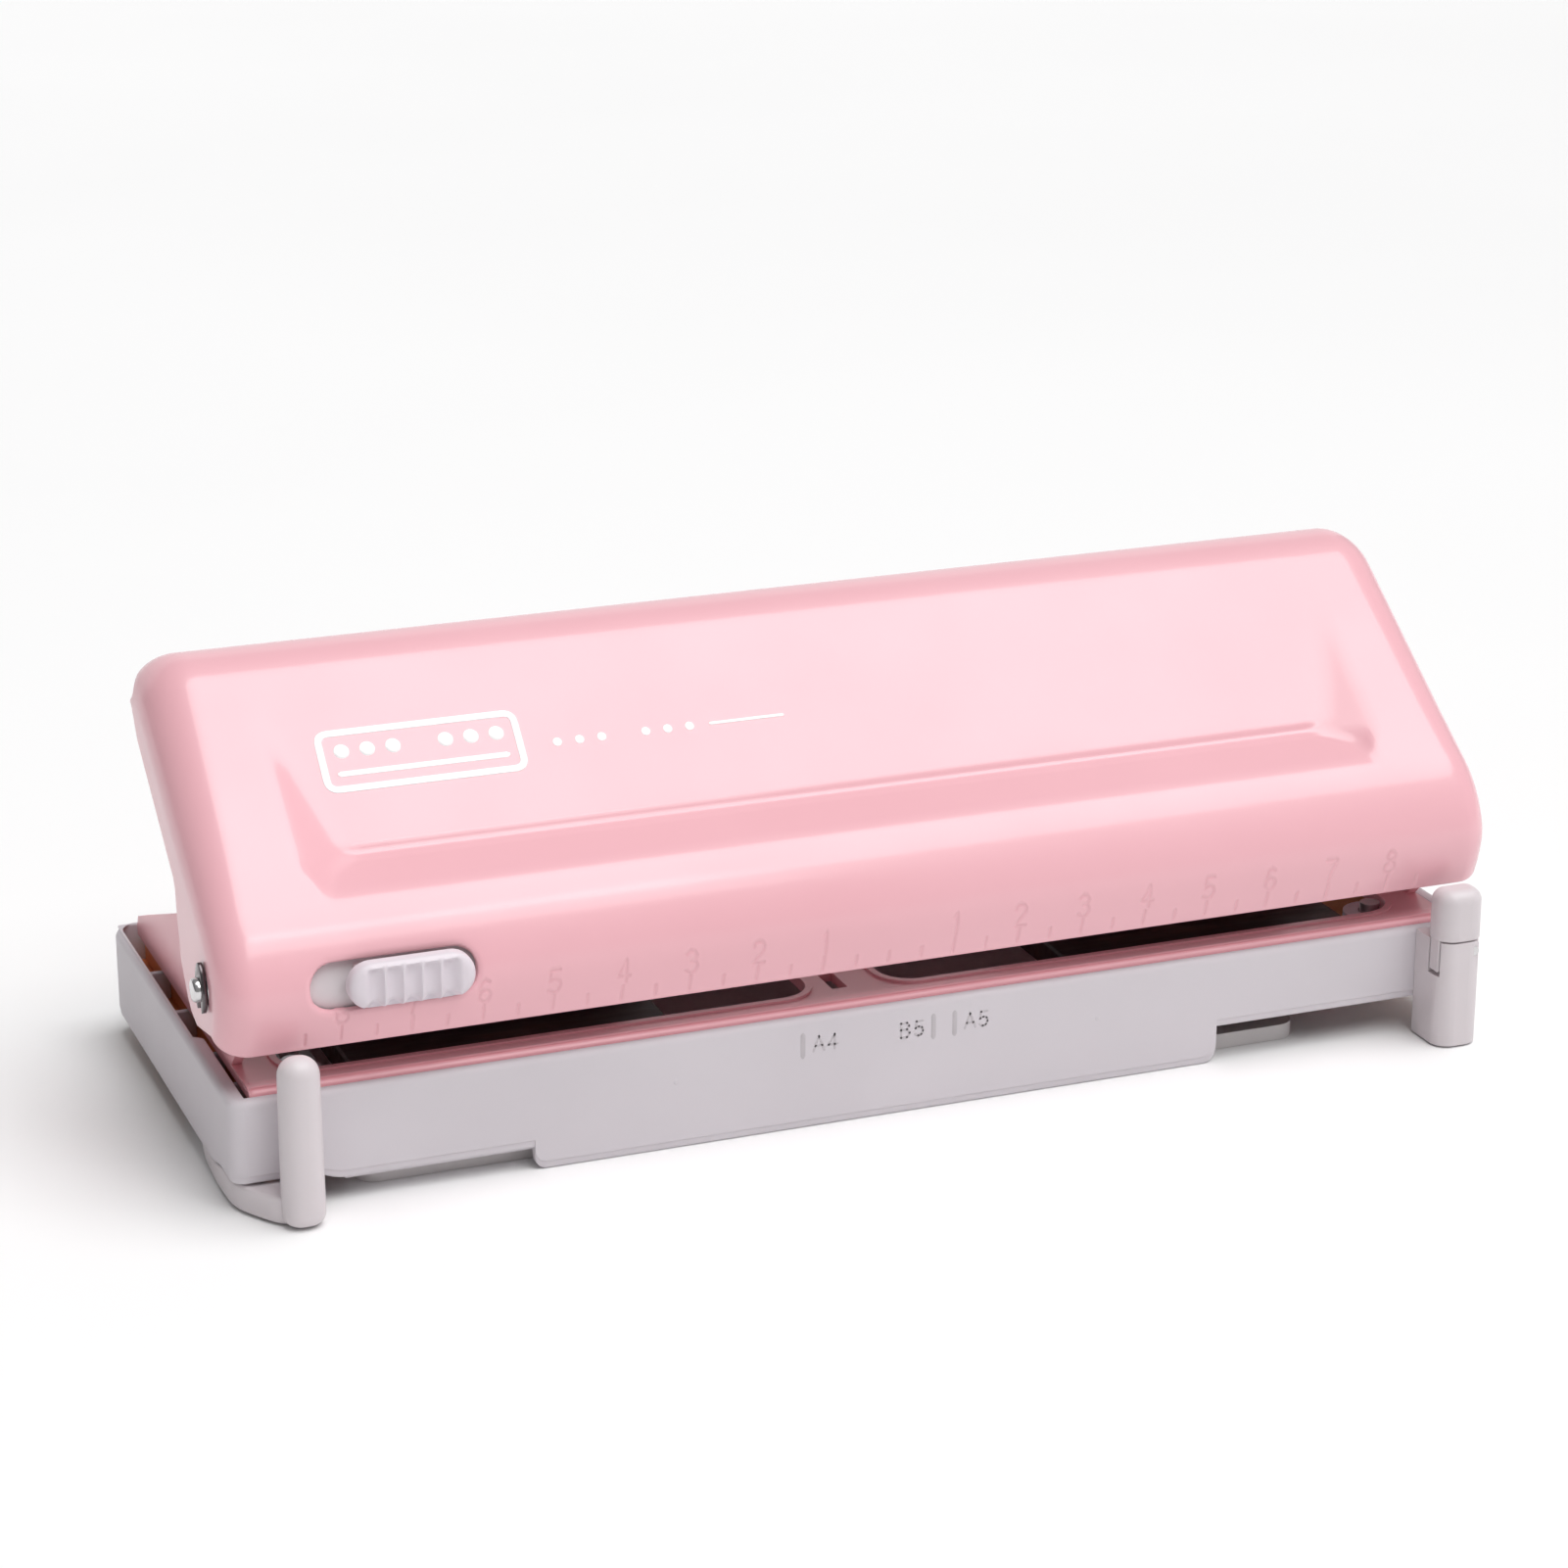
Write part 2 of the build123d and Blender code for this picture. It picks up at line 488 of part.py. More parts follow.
def stop_arm():
    """Left paper stop: hub, curved arm under the tray's corner, upright."""
    hub = post(SWING_X, SWING_Y, ARM_LOW, ARM_HIGH, 6.0)
    outline = [(SWING_X - 5.5, SWING_Y), (-93.6, -14.0), (-94.0, -27.0), (-92.9, -32.5),
               (-POST_X - 3.2, -37.0), (-POST_X + 3.2, -37.0), (-POST_X + 3.2, -33.0),
               (-88.0, -30.0), (-88.4, -24.0), (-87.0, -12.0), (SWING_X + 4.0, SWING_Y)]
    arm = hub + flat_plate(outline, ARM_LOW, ARM_HIGH)
    arm += rounded_post(-POST_X, ARM_LOW, POST_TOP, POST_FRONT, POST_BACK)
    arm -= post(SWING_X, SWING_Y, ARM_LOW - 1, ARM_LOW + 1.0, 3.0)
    return arm - post(SWING_X, SWING_Y, ARM_LOW - 1, ARM_HIGH + 1, 1.5 + RUNNING)


def stop_pivot():
    """Shouldered screw, head down, on which the left stop swings."""
    head = post(SWING_X, SWING_Y, ARM_LOW + 0.05, ARM_LOW + 0.95, 2.8)
    shoulder = post(SWING_X, SWING_Y, ARM_LOW + 0.9, ARM_HIGH + 0.3, 1.5)
    thread = post(SWING_X, SWING_Y, ARM_HIGH + 0.2, 11.5, 1.25)
    drive = block(SWING_X - 1.8, SWING_X + 1.8, SWING_Y - 0.4, SWING_Y + 0.4, 0, ARM_LOW + 0.5)
    return head + shoulder + thread - drive


def along_y(x, y, z, r, length):
    """A round bar along Y, centred on a point."""
    return Pos(x, y, z) * Rot(90, 0, 0) * Cylinder(r, length)


def stop_block():
    """Right paper stop's foot, with a slot for the cap's tongue and hinge."""
    x0, x1 = CAP_X - CAP_HALF, CAP_X + CAP_HALF
    body = block(x0, x1, POST_FRONT, BLOCK_BACK, 0.3, BLOCK_TOP)
    body = fillet(body.edges().filter_by(Axis.Z).sort_by(Axis.Y)[:2], CORNER_R)
    corner = block(CAP_HINGE_X, x1 + 1, POST_FRONT - 1, BLOCK_BACK + 1, CAP_HINGE_Z, BLOCK_TOP + 1)
    body -= corner - along_y(CAP_HINGE_X, KNUCKLE_Y, CAP_HINGE_Z, BLOCK_TOP - CAP_HINGE_Z, 20)
    half = KNUCKLE_W / 2 + 0.3
    body -= block(x0 - 1, x1 + 1, KNUCKLE_Y - half, KNUCKLE_Y + half, 11.2, BLOCK_TOP + 1)
    return body - along_y(CAP_HINGE_X, KNUCKLE_Y, CAP_HINGE_Z, CAP_PIN_R, CAP_PIN_L)


def stop_cap():
    """Right paper stop's folding cap: domed upright, knuckle, snap tongue."""
    x0, x1 = CAP_X - CAP_HALF, CAP_X + CAP_HALF
    low = BLOCK_TOP + 0.3
    body = block(x0, x1, POST_FRONT, POST_BACK, low, POST_TOP)
    body = fillet(body.edges().filter_by(Axis.Z).sort_by(Axis.Y)[:2], CORNER_R)
    body = fillet(body.edges().filter_by(Axis.Z).sort_by(Axis.Y)[-2:], 2.0)
    body = fillet(body.faces().sort_by(Axis.Z)[-1].edges(), 1.9)
    half = KNUCKLE_W / 2
    body += along_y(CAP_HINGE_X, KNUCKLE_Y, CAP_HINGE_Z, 2 * CAP_PIN_R, KNUCKLE_W)
    body += block(CAP_HINGE_X - 1.5, CAP_HINGE_X + 1.5, KNUCKLE_Y - half, KNUCKLE_Y + half,
                  CAP_HINGE_Z, low)
    body += block(x0 + 0.1, x0 + 1.8, KNUCKLE_Y - half, KNUCKLE_Y + half, 11.9, low)
    return body - along_y(CAP_HINGE_X, KNUCKLE_Y, CAP_HINGE_Z, CAP_PIN_R + RUNNING, 12)


def cap_pin():
    """Hinge pin of the folding cap."""
    return along_y(CAP_HINGE_X, KNUCKLE_Y, CAP_HINGE_Z, CAP_PIN_R, CAP_PIN_L)


nodes["tray"] = tray()
nodes["chip_cover"] = chip_cover()
nodes["base_plate"] = base_plate()
nodes["base_screws"] = base_screws()
nodes["pivot_shaft"] = pivot_shaft()
nodes["pivot_bushes"] = pivot_bushes()
nodes["pivot_clips"] = pivot_clips()
nodes["head_rail"] = rail()
nodes["handle_shell"] = handle_shell()
nodes["presser_rod"] = presser_rod()
nodes["presser_brackets"] = presser_brackets()
nodes["lock_slider"] = lock_slider()
nodes["stop_arm_left"] = stop_arm()
nodes["stop_pivot_screw"] = stop_pivot()
nodes["stop_block_right"] = stop_block()
nodes["stop_cap_right"] = stop_cap()
nodes["stop_cap_pin"] = cap_pin()
for name, side in (("left", -1), ("right", 1)):
    nodes[name + "_die_bar"] = die_bar(side)
    nodes[name + "_head_frame"] = head_frame(side)
    nodes[name + "_head_screws"] = head_screws(side)
    for number, x in enumerate(head_pin_xs(side), start=1):
        nodes[f"{name}_punch_pin_{number}"] = punch_pin(x)
        nodes[f"{name}_pin_clip_{number}"] = pin_clip(x)
        nodes[f"{name}_pin_spring_{number}"] = pin_spring(x)

os.makedirs("parts", exist_ok=True)
for node, shape in nodes.items():
    export_step(shape, f"parts/{node}.step")
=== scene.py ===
import json
import math

import bmesh
import bpy
import numpy as np
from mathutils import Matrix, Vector


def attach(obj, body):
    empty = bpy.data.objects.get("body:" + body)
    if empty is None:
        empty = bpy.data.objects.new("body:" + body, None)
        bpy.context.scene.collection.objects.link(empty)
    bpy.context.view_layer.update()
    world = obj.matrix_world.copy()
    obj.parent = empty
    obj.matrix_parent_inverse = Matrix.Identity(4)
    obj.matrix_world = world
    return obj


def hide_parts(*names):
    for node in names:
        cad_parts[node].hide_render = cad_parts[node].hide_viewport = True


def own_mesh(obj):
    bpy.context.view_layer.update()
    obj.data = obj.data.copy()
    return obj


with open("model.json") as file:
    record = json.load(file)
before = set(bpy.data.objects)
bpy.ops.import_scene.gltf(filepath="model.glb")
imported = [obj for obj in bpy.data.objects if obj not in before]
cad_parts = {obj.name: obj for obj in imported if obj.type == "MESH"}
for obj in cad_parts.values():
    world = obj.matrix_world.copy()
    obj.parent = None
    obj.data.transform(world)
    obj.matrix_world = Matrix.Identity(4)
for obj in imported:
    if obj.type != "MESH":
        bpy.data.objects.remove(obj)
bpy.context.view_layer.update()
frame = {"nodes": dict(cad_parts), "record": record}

MM = 0.001

# ---------------------------------------------------------------- materials


def rgb(r, g, b):
    """Linear colour from 0..255 display values."""
    out = []
    for c in (r, g, b):
        c /= 255.0
        out.append(c / 12.92 if c <= 0.04045 else ((c + 0.055) / 1.055) ** 2.4)
    return tuple(out) + (1.0,)


class Nodes:
    """A small helper that builds one node material."""

    def __init__(self, name):
        self.mat = bpy.data.materials.new(name)
        self.mat.use_nodes = True
        self.tree = self.mat.node_tree
        self.tree.nodes.clear()
        self.out = self.tree.nodes.new("ShaderNodeOutputMaterial")
        self.bsdf = self.tree.nodes.new("ShaderNodeBsdfPrincipled")
        self.link(self.bsdf.outputs[0], self.out.inputs[0])
        coords = self.tree.nodes.new("ShaderNodeTexCoord")
        self.place = coords.outputs["Object"]

    def link(self, a, b):
        self.tree.links.new(a, b)

    def set(self, **values):
        for key, value in values.items():
            self.bsdf.inputs[key.replace("_", " ")].default_value = value

    def noise(self, scale, detail=3.0, rough=0.5, stretch=(1, 1, 1), distortion=0.0):
        mapping = self.tree.nodes.new("ShaderNodeMapping")
        mapping.inputs["Scale"].default_value = stretch
        self.link(self.place, mapping.inputs["Vector"])
        n = self.tree.nodes.new("ShaderNodeTexNoise")
        n.inputs["Scale"].default_value = scale
        n.inputs["Detail"].default_value = detail
        n.inputs["Roughness"].default_value = rough
        n.inputs["Distortion"].default_value = distortion
        self.link(mapping.outputs[0], n.inputs["Vector"])
        return n.outputs[0]

    def ramp(self, fac, stops):
        r = self.tree.nodes.new("ShaderNodeValToRGB")
        while len(r.color_ramp.elements) < len(stops):
            r.color_ramp.elements.new(0.5)
        for e, (pos, col) in zip(r.color_ramp.elements, stops):
            e.position = pos
            e.color = col if len(col) == 4 else tuple(col) + (1.0,)
        self.link(fac, r.inputs[0])
        return r.outputs[0]

    def span(self, fac, low, high, a=0.3, b=0.7):
        m = self.tree.nodes.new("ShaderNodeMapRange")
        m.inputs["From Min"].default_value = a
        m.inputs["From Max"].default_value = b
        m.inputs["To Min"].default_value = low
        m.inputs["To Max"].default_value = high
        self.link(fac, m.inputs["Value"])
        return m.outputs[0]

    def color(self, socket):
        self.link(socket, self.bsdf.inputs["Base Color"])

    def rough(self, socket):
        self.link(socket, self.bsdf.inputs["Roughness"])

    def bump(self, height, distance, strength=1.0, after=None):
        b = self.tree.nodes.new("ShaderNodeBump")
        b.inputs["Distance"].default_value = distance
        b.inputs["Strength"].default_value = strength
        self.link(height, b.inputs["Height"])
        if after is not None:
            self.link(after, b.inputs["Normal"])
        self.link(b.outputs[0], self.bsdf.inputs["Normal"])
        return b.outputs[0]


def two_tone(n, scale, a, b, detail=3.0):
    n.color(n.ramp(n.noise(scale, detail), [(0.35, a), (0.65, b)]))


def pink_paint(name, a, b, coat):
    """Baked enamel on sheet steel: fine orange peel under a clear gloss."""
    n = Nodes(name)
    two_tone(n, 18.0, a, b)
    n.set(Coat_Weight=coat, Coat_Roughness=0.12, IOR=1.5)
    n.rough(n.span(n.noise(60.0, 4.0), 0.32, 0.42))
    n.bump(n.noise(900.0, 2.0, 0.6), 0.000012, 0.5)
    return n.mat


def white_plastic(name, a, b, rough=(0.42, 0.52)):
    """Satin moulded plastic with a very fine spark-eroded grain."""
    n = Nodes(name)
    two_tone(n, 25.0, a, b)
    n.set(IOR=1.46, Subsurface_Weight=0.06, Subsurface_Scale=0.001)
    n.bsdf.inputs["Subsurface Radius"].default_value = (1.0, 0.8, 0.8)
    n.rough(n.span(n.noise(90.0, 3.0), rough[0], rough[1]))
    n.bump(n.noise(2600.0, 2.0, 0.6), 0.00001, 0.35)
    return n.mat


def metal(name, a, b, rough, grain=(1, 1, 1), scale=400.0, bump=0.000004):
    """Metal with drawn or ground grain."""
    n = Nodes(name)
    two_tone(n, 60.0, a, b)
    n.set(Metallic=1.0)
    n.rough(n.span(n.noise(scale, 4.0, 0.6, grain), rough[0], rough[1]))
    n.bump(n.noise(scale, 3.0, 0.6, grain), bump, 0.5)
    return n.mat


def die_black():
    """Oiled black oxide with a brown cast and faint ground lines."""
    n = Nodes("die_black_oxide")
    n.color(n.ramp(n.noise(45.0, 5.0, 0.6, (1, 3, 3)),
                   [(0.3, rgb(34, 20, 20)), (0.55, rgb(54, 34, 31)), (0.75, rgb(92, 64, 58))]))
    n.set(Metallic=0.1, IOR=1.35)
    n.rough(n.span(n.noise(700.0, 4.0, 0.7, (0.15, 1, 1)), 0.46, 0.66))
    n.bump(n.noise(900.0, 3.0, 0.6, (0.2, 1, 1)), 0.00001, 0.5)
    return n.mat


def ink(name, a, b):
    """Screen-printed ink with a slightly uneven film."""
    n = Nodes(name)
    two_tone(n, 300.0, a, b)
    n.rough(n.span(n.noise(700.0, 2.0), 0.35, 0.45))
    n.set(IOR=1.45)
    return n.mat


MATS = {
    "pink_paint": pink_paint("pink_enamel", rgb(240, 181, 190), rgb(242, 184, 193), 0.6),
    # Painted shade: the base plate's enamel is a darker, more saturated copy of the pink, tuned to
    # the plate's look in the shade under the handle.
    "plate_paint_throat_shade": pink_paint("plate_enamel_throat_shade", rgb(242, 174, 183), rgb(245, 179, 188), 0.15),
    "white_plastic": white_plastic("tray_plastic", rgb(209, 203, 208), rgb(214, 208, 213)),
    "cover_plastic": white_plastic("cover_plastic", rgb(212, 207, 207), rgb(218, 213, 213)),
    "lever_plastic": white_plastic("lever_plastic", rgb(215, 207, 210), rgb(220, 212, 215),
                                   (0.34, 0.44)),
    "shaft_chrome": metal("nickel_plate", rgb(205, 203, 204), rgb(222, 220, 221), (0.10, 0.20)),
    "die_black": die_black(),
    "zinc_steel": metal("zinc_plate", rgb(178, 178, 180), rgb(196, 195, 197), (0.28, 0.42)),
    "tool_steel": metal("ground_steel", rgb(160, 158, 158), rgb(182, 180, 180), (0.18, 0.3),
                        (1, 1, 0.1)),
    "clip_steel": metal("clip_steel", rgb(84, 78, 80), rgb(124, 117, 119), (0.14, 0.26)),
    "button_plastic": white_plastic("button_plastic", rgb(224, 215, 222), rgb(228, 219, 226),
                                    (0.30, 0.38)),
    # Painted shade: this brown stands in for the shade and warm bounce light deep in the tray's end
    # wells, not for the plastic's own colour.
    "well_shade_brown": white_plastic("well_shade_brown", rgb(228, 150, 98), rgb(204, 124, 76), (0.5, 0.6)),
    "mark_grey": ink("mark_grey", rgb(190, 184, 188), rgb(195, 189, 193)),
    "white_ink": ink("white_ink", rgb(250, 248, 249), rgb(253, 252, 252)),
    "spring_steel": metal("spring_wire", rgb(120, 120, 124), rgb(150, 150, 154), (0.25, 0.4)),
}

subparts = {p["node"]: p["material_slot"] for p in frame["record"]["subparts"]}
for node, obj in frame["nodes"].items():
    obj.data.materials.clear()
    # The base plate takes the darker enamel copy that paints in the shade under the handle.
    obj.data.materials.append(MATS["plate_paint_throat_shade" if node == "base_plate" else subparts[node]])

# ---------------------------------------------------------------- mesh helpers


def piece(name, verts, faces, mat, body, smooth=True, sharp=None):
    """One mesh piece from millimetre points; it rides on a CAD body."""
    mesh = bpy.data.meshes.new(name)
    mesh.from_pydata([tuple(c * MM for c in v) for v in verts], [], faces)
    mesh.validate()
    mesh.update()
    obj = bpy.data.objects.new(name, mesh)
    bpy.context.scene.collection.objects.link(obj)
    mesh.materials.append(MATS[mat])
    if smooth:
        mesh.polygons.foreach_set("use_smooth", [True] * len(mesh.polygons))
        if sharp is not None:
            mesh.set_sharp_from_angle(angle=math.radians(sharp))
    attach(obj, body)
    return obj


class Build:
    """Collects grids and strips of vertices and faces."""

    def __init__(self):
        self.verts, self.faces, self.count = [], [], 0

    def add(self, pts):
        pts = np.asarray(pts, float).reshape(-1, 3)
        start = self.count
        self.verts.append(pts)
        self.count += len(pts)
        return start

    def grid(self, pts, flip=False, keep=None, wrap=False):
        rows, cols = pts.shape[:2]
        start = self.add(pts)
        idx = np.arange(rows * cols).reshape(rows, cols) + start
        if wrap:
            idx = np.concatenate([idx, idx[:, :1]], axis=1)
        a, b, c, d = idx[:-1, :-1], idx[:-1, 1:], idx[1:, 1:], idx[1:, :-1]
        quads = np.stack([a, d, c, b] if flip else [a, b, c, d], axis=-1).reshape(-1, 4)
        if keep is not None:
            quads = quads[keep.reshape(-1)]
        self.faces.extend(map(tuple, quads.tolist()))
        return idx

    def points(self):
        return np.concatenate(self.verts)

# ---------------------------------------------------------------- handle


FRONT_Y, NOSE_Z, NOSE_R = -35.0, 28.0, 17.8
SLOPE = math.radians(37.0)
REAR_R, CREST_Z = 12.0, 66.98
BOTTOM_Z = 23.4
SHIFT, HALF, SHEET = 0.4, 97.0, 1.2
S_NOSE = NOSE_Z - BOTTOM_Z
NOSE_ANGLE = math.pi / 2 - SLOPE
S_SLOPE = S_NOSE + NOSE_R * NOSE_ANGLE
LIP_Y = FRONT_Y + NOSE_R - NOSE_R * math.cos(NOSE_ANGLE)
LIP_Z = NOSE_Z + NOSE_R * math.sin(NOSE_ANGLE)
REAR_CZ = CREST_Z - REAR_R
SLOPE_L = (REAR_CZ + REAR_R * math.cos(SLOPE) - LIP_Z) / math.sin(SLOPE)
S_REAR = S_SLOPE + SLOPE_L
REAR_CY = LIP_Y + SLOPE_L * math.cos(SLOPE) + REAR_R * math.sin(SLOPE)
REAR_END = math.radians(66.0)
S_END = S_REAR + REAR_R * (SLOPE + REAR_END)

KEY_X, KEY_Z, KEY_L, KEY_H = -72.5, 31.8, 23.4, 6.8
CREASE_U, CREASE_D, DISH_TOP_U = 7.64, 3.0, 31.2
LEDGE_ANGLE, GROOVE_D, DISH_X = math.radians(21.4), 0.35, 0.2
END_SPAN, END_EDGE = 7.7, 4.0  # stretch of columns next to each end, and where it stops
FLANGE_S = 66.0  # the end flange fades out from here to the rear


def smoothstep(t):
    """Rises from 0 to 1 with flat ends."""
    t = np.clip(t, 0.0, 1.0)
    return t * t * (3 - 2 * t)


def smooth_min(a, b, k):
    """The smaller of two values, with a rounded change from one to the other."""
    h = np.clip(0.5 + 0.5 * (b - a) / k, 0.0, 1.0)
    return b + (a - b) * h - k * h * (1 - h)


def smooth_max(a, b, k):
    """The larger of two values, rounded in the same way."""
    return -smooth_min(-a, -b if isinstance(b, np.ndarray) else np.full_like(a, -b), k)


TUCK_Z, TUCK_Y, TUCK_DROP = 33.0, 2.4, 0.6


def tuck_share(z):
    """How far a height is into the front's lower part, which curves back under the nose."""
    return np.clip((TUCK_Z - z) / (TUCK_Z - BOTTOM_Z), 0.0, 1.0)


def section(s):
    """Point and outward normal of the handle's section at arc length s."""
    s = np.asarray(s, float)
    y, z = np.full(s.shape, FRONT_Y), BOTTOM_Z + s
    t = np.clip((s - S_NOSE) / NOSE_R, 0, NOSE_ANGLE)
    m = s > S_NOSE
    y = np.where(m, FRONT_Y + NOSE_R - NOSE_R * np.cos(t), y)
    z = np.where(m, NOSE_Z + NOSE_R * np.sin(t), z)
    d = tuck_share(z)
    turn = t - np.arctan(2 * TUCK_Y / (TUCK_Z - BOTTOM_Z) * d)
    ny, nz = -np.cos(turn), np.sin(turn)
    y, z = y + TUCK_Y * d * d, z - TUCK_DROP * d * d
    m = s > S_SLOPE
    u = np.clip(s - S_SLOPE, 0, SLOPE_L)
    y = np.where(m, LIP_Y + u * math.cos(SLOPE), y)
    z = np.where(m, LIP_Z + u * math.sin(SLOPE), z)
    m = s > S_REAR
    t = (s - S_REAR) / REAR_R - SLOPE
    y = np.where(m, REAR_CY + REAR_R * np.sin(t), y)
    z = np.where(m, REAR_CZ + REAR_R * np.cos(t), z)
    ny, nz = np.where(m, np.sin(t), ny), np.where(m, np.cos(t), nz)
    return y, z, ny, nz


def key_distance(x, z):
    """Signed distance to the keyway's outline in the front view; negative inside."""
    reach = KEY_L / 2 - KEY_H / 2
    dx = np.maximum(np.abs(x - KEY_X) - reach, 0.0)
    return np.hypot(dx, z - KEY_Z) - KEY_H / 2


def dish_depth(x, s):
    """How far the palm rest lies under the slope."""
    u = s - S_SLOPE
    ledge = u * math.tan(LEDGE_ANGLE)
    floor = (DISH_TOP_U - u) * CREASE_D / (DISH_TOP_U - CREASE_U)
    groove = GROOVE_D * np.exp(-((u - CREASE_U - 1.0) / 0.9) ** 2)
    depth = smooth_min(ledge, floor + groove, 0.5)
    reach = 80.4 + 2.4 * smoothstep((u - 0.5) / 7.0)
    steep = np.tan(np.radians(34.0 - 12.5 * smoothstep((u - 1.0) / 7.0)))
    end = (reach - np.abs(x - SHIFT - DISH_X)) * steep
    return smooth_max(smooth_min(depth, end, 0.9), 0.0, 0.7)


DIGITS = {
    1: [[(0.50, 0.0), (0.50, 1.0), (0.32, 0.82)]],
    2: [[(0.12, 0.76), (0.20, 0.93), (0.42, 1.0), (0.68, 0.95), (0.80, 0.77), (0.72, 0.56),
         (0.40, 0.28), (0.12, 0.0), (0.86, 0.0)]],
    3: [[(0.14, 0.86), (0.36, 1.0), (0.64, 0.96), (0.78, 0.78), (0.66, 0.58), (0.42, 0.53)],
        [(0.42, 0.53), (0.74, 0.46), (0.84, 0.25), (0.66, 0.04), (0.38, 0.0), (0.12, 0.14)]],
    4: [[(0.66, 0.0), (0.66, 1.0), (0.10, 0.30), (0.90, 0.30)]],
    5: [[(0.82, 1.0), (0.24, 1.0), (0.16, 0.52), (0.46, 0.62), (0.76, 0.54), (0.86, 0.30),
         (0.70, 0.06), (0.42, 0.0), (0.12, 0.12)]],
    6: [[(0.78, 0.90), (0.54, 1.0), (0.28, 0.86), (0.14, 0.50), (0.18, 0.16), (0.44, 0.0),
         (0.72, 0.06), (0.86, 0.30), (0.72, 0.52), (0.46, 0.58), (0.18, 0.42)]],
    7: [[(0.12, 1.0), (0.88, 1.0), (0.54, 0.46), (0.40, 0.0)]],
    8: [[(0.48, 0.54), (0.22, 0.66), (0.18, 0.84), (0.36, 0.99), (0.62, 0.99), (0.78, 0.84),
         (0.74, 0.66), (0.48, 0.54), (0.18, 0.40), (0.12, 0.18), (0.32, 0.0), (0.66, 0.0),
         (0.86, 0.18), (0.80, 0.40), (0.48, 0.54)]],
}
DIGIT_W, DIGIT_H, DIGIT_S = 2.3, 3.3, 3.5
TICK_S0, TICK_LONG, TICK_SHORT = 0.9, 3.0, 2.4
STROKE_R, MARK_DEPTH = 0.18, 0.2


def mark_strokes():
    """Every stroke of the pressed scale as (x, s) polylines."""
    strokes = []
    for i in range(-17, 18):
        x = 5.0 * i
        top = TICK_LONG if i % 2 == 0 and i != 0 else TICK_SHORT
        strokes.append([(x, TICK_S0), (x, top)])
    for n, lines in DIGITS.items():
        for side in (-1, 1):
            x0 = side * 10.0 * n - DIGIT_W / 2
            for line in lines:
                strokes.append([(x0 + px * DIGIT_W, DIGIT_S + py * DIGIT_H) for px, py in line])
    return strokes


def mark_depth(x, s):
    """Depth of the pressed scale marks at each (x, s)."""
    best = np.full(x.shape, 9.0)
    for line in mark_strokes():
        pts = np.array(line)
        lo, hi = pts.min(0) - 0.6, pts.max(0) + 0.6
        near = (x > lo[0]) & (x < hi[0]) & (s > lo[1]) & (s < hi[1])
        if not near.any():
            continue
        px, ps = x[near], s[near]
        dist = best[near]
        for (ax, ay), (bx, by) in zip(line[:-1], line[1:]):
            dx, dy = bx - ax, by - ay
            t = np.clip(((px - ax) * dx + (ps - ay) * dy) / (dx * dx + dy * dy), 0, 1)
            dist = np.minimum(dist, np.hypot(px - ax - t * dx, ps - ay - t * dy))
        best[near] = dist
    return MARK_DEPTH * (1 - smoothstep((best - 0.05) / (STROKE_R + 0.08)))


END_S = np.array([0, 12, 30, 58, 66, 72, 80])
END_R = np.array([4.6, 5.2, 6.4, 7.4, 7.2, 6.4, 6.0])
RIM_S = np.array([0, 2.0, 4.6, 10, 16, 21, 29, 36, 58.2, 64, 70, 75, 80])


def rim_points(s):
    """Inner edge of the end flange, in the plane of the handle's end."""
    y, z, ny, nz = section(RIM_S)
    depth = 11.5
    ry = np.array([-20.5, -17.0, -15.2, -12.2, -11.0, -10.5, -9.9, 0, 0, 11.3, 13.6, 0, 0])
    rz = np.array([23.4, 24.5, 26.0, 30.0, 36.0, 40.2, 41.4, 0, 0, 59.4, 61.6, 0, 0])
    for i in (7, 8):
        ry[i], rz[i] = y[i] - depth * ny[i], z[i] - depth * nz[i]
    for i, d in ((11, 6.4), (12, 6.4)):
        ry[i], rz[i] = y[i] - d * ny[i], z[i] - d * nz[i]
    return np.interp(s, RIM_S, ry), np.interp(s, RIM_S, rz)


def handle_surface(s, cols, inset, fine):
    """Grid of points over rows s and columns (zone, value), offset inwards by inset."""
    y, z, ny, nz = section(s)
    radius = np.interp(s, END_S, END_R) - inset
    rim_y, rim_z = rim_points(s)
    turn = np.radians(90.0 - 58.0 * smoothstep((s - FLANGE_S) / 9.0))
    reach = 1.0 - 0.97 * smoothstep((s - FLANGE_S) / 4.0)
    out = np.zeros((len(s), len(cols), 3))
    for c, (zone, side, v) in enumerate(cols):
        if zone == "main":
            edge = HALF - END_SPAN
            x = np.where(abs(v) <= edge, v, np.sign(v) * (edge + (abs(v) - edge) / END_SPAN
                         * (HALF - inset - radius - edge)))
            x = x + SHIFT
            depth = np.full(s.shape, inset)
        else:
            a = turn * (v / (math.pi / 2) if zone == "round" else 1.0)
            x = SHIFT + side * (HALF - inset - radius + radius * np.sin(a))
            depth = inset + radius * (1 - np.cos(a))
        py, pz = y - ny * depth, z - nz * depth
        if zone == "flange":
            py, pz = py + (rim_y - py) * v * reach, pz + (rim_z - pz) * v * reach
        out[:, c, 0], out[:, c, 1], out[:, c, 2] = x, py, pz
    x2 = out[:, :, 0]
    s2 = np.repeat(s[:, None], len(cols), axis=1)
    sink = dish_depth(x2, s2)
    if fine:
        sink = sink + mark_depth(x2, s2)
        rim = np.clip(key_distance(x2, out[:, :, 2]) / 0.9, 0, 1)
        sink = sink + 0.3 * (1 - rim) ** 2 * (s2 < S_SLOPE)
    is_main = np.array([zone == "main" for zone, _, _ in cols])[None, :]
    sink = sink * is_main
    out[:, :, 1] -= ny[:, None] * sink
    out[:, :, 2] -= nz[:, None] * sink
    return out


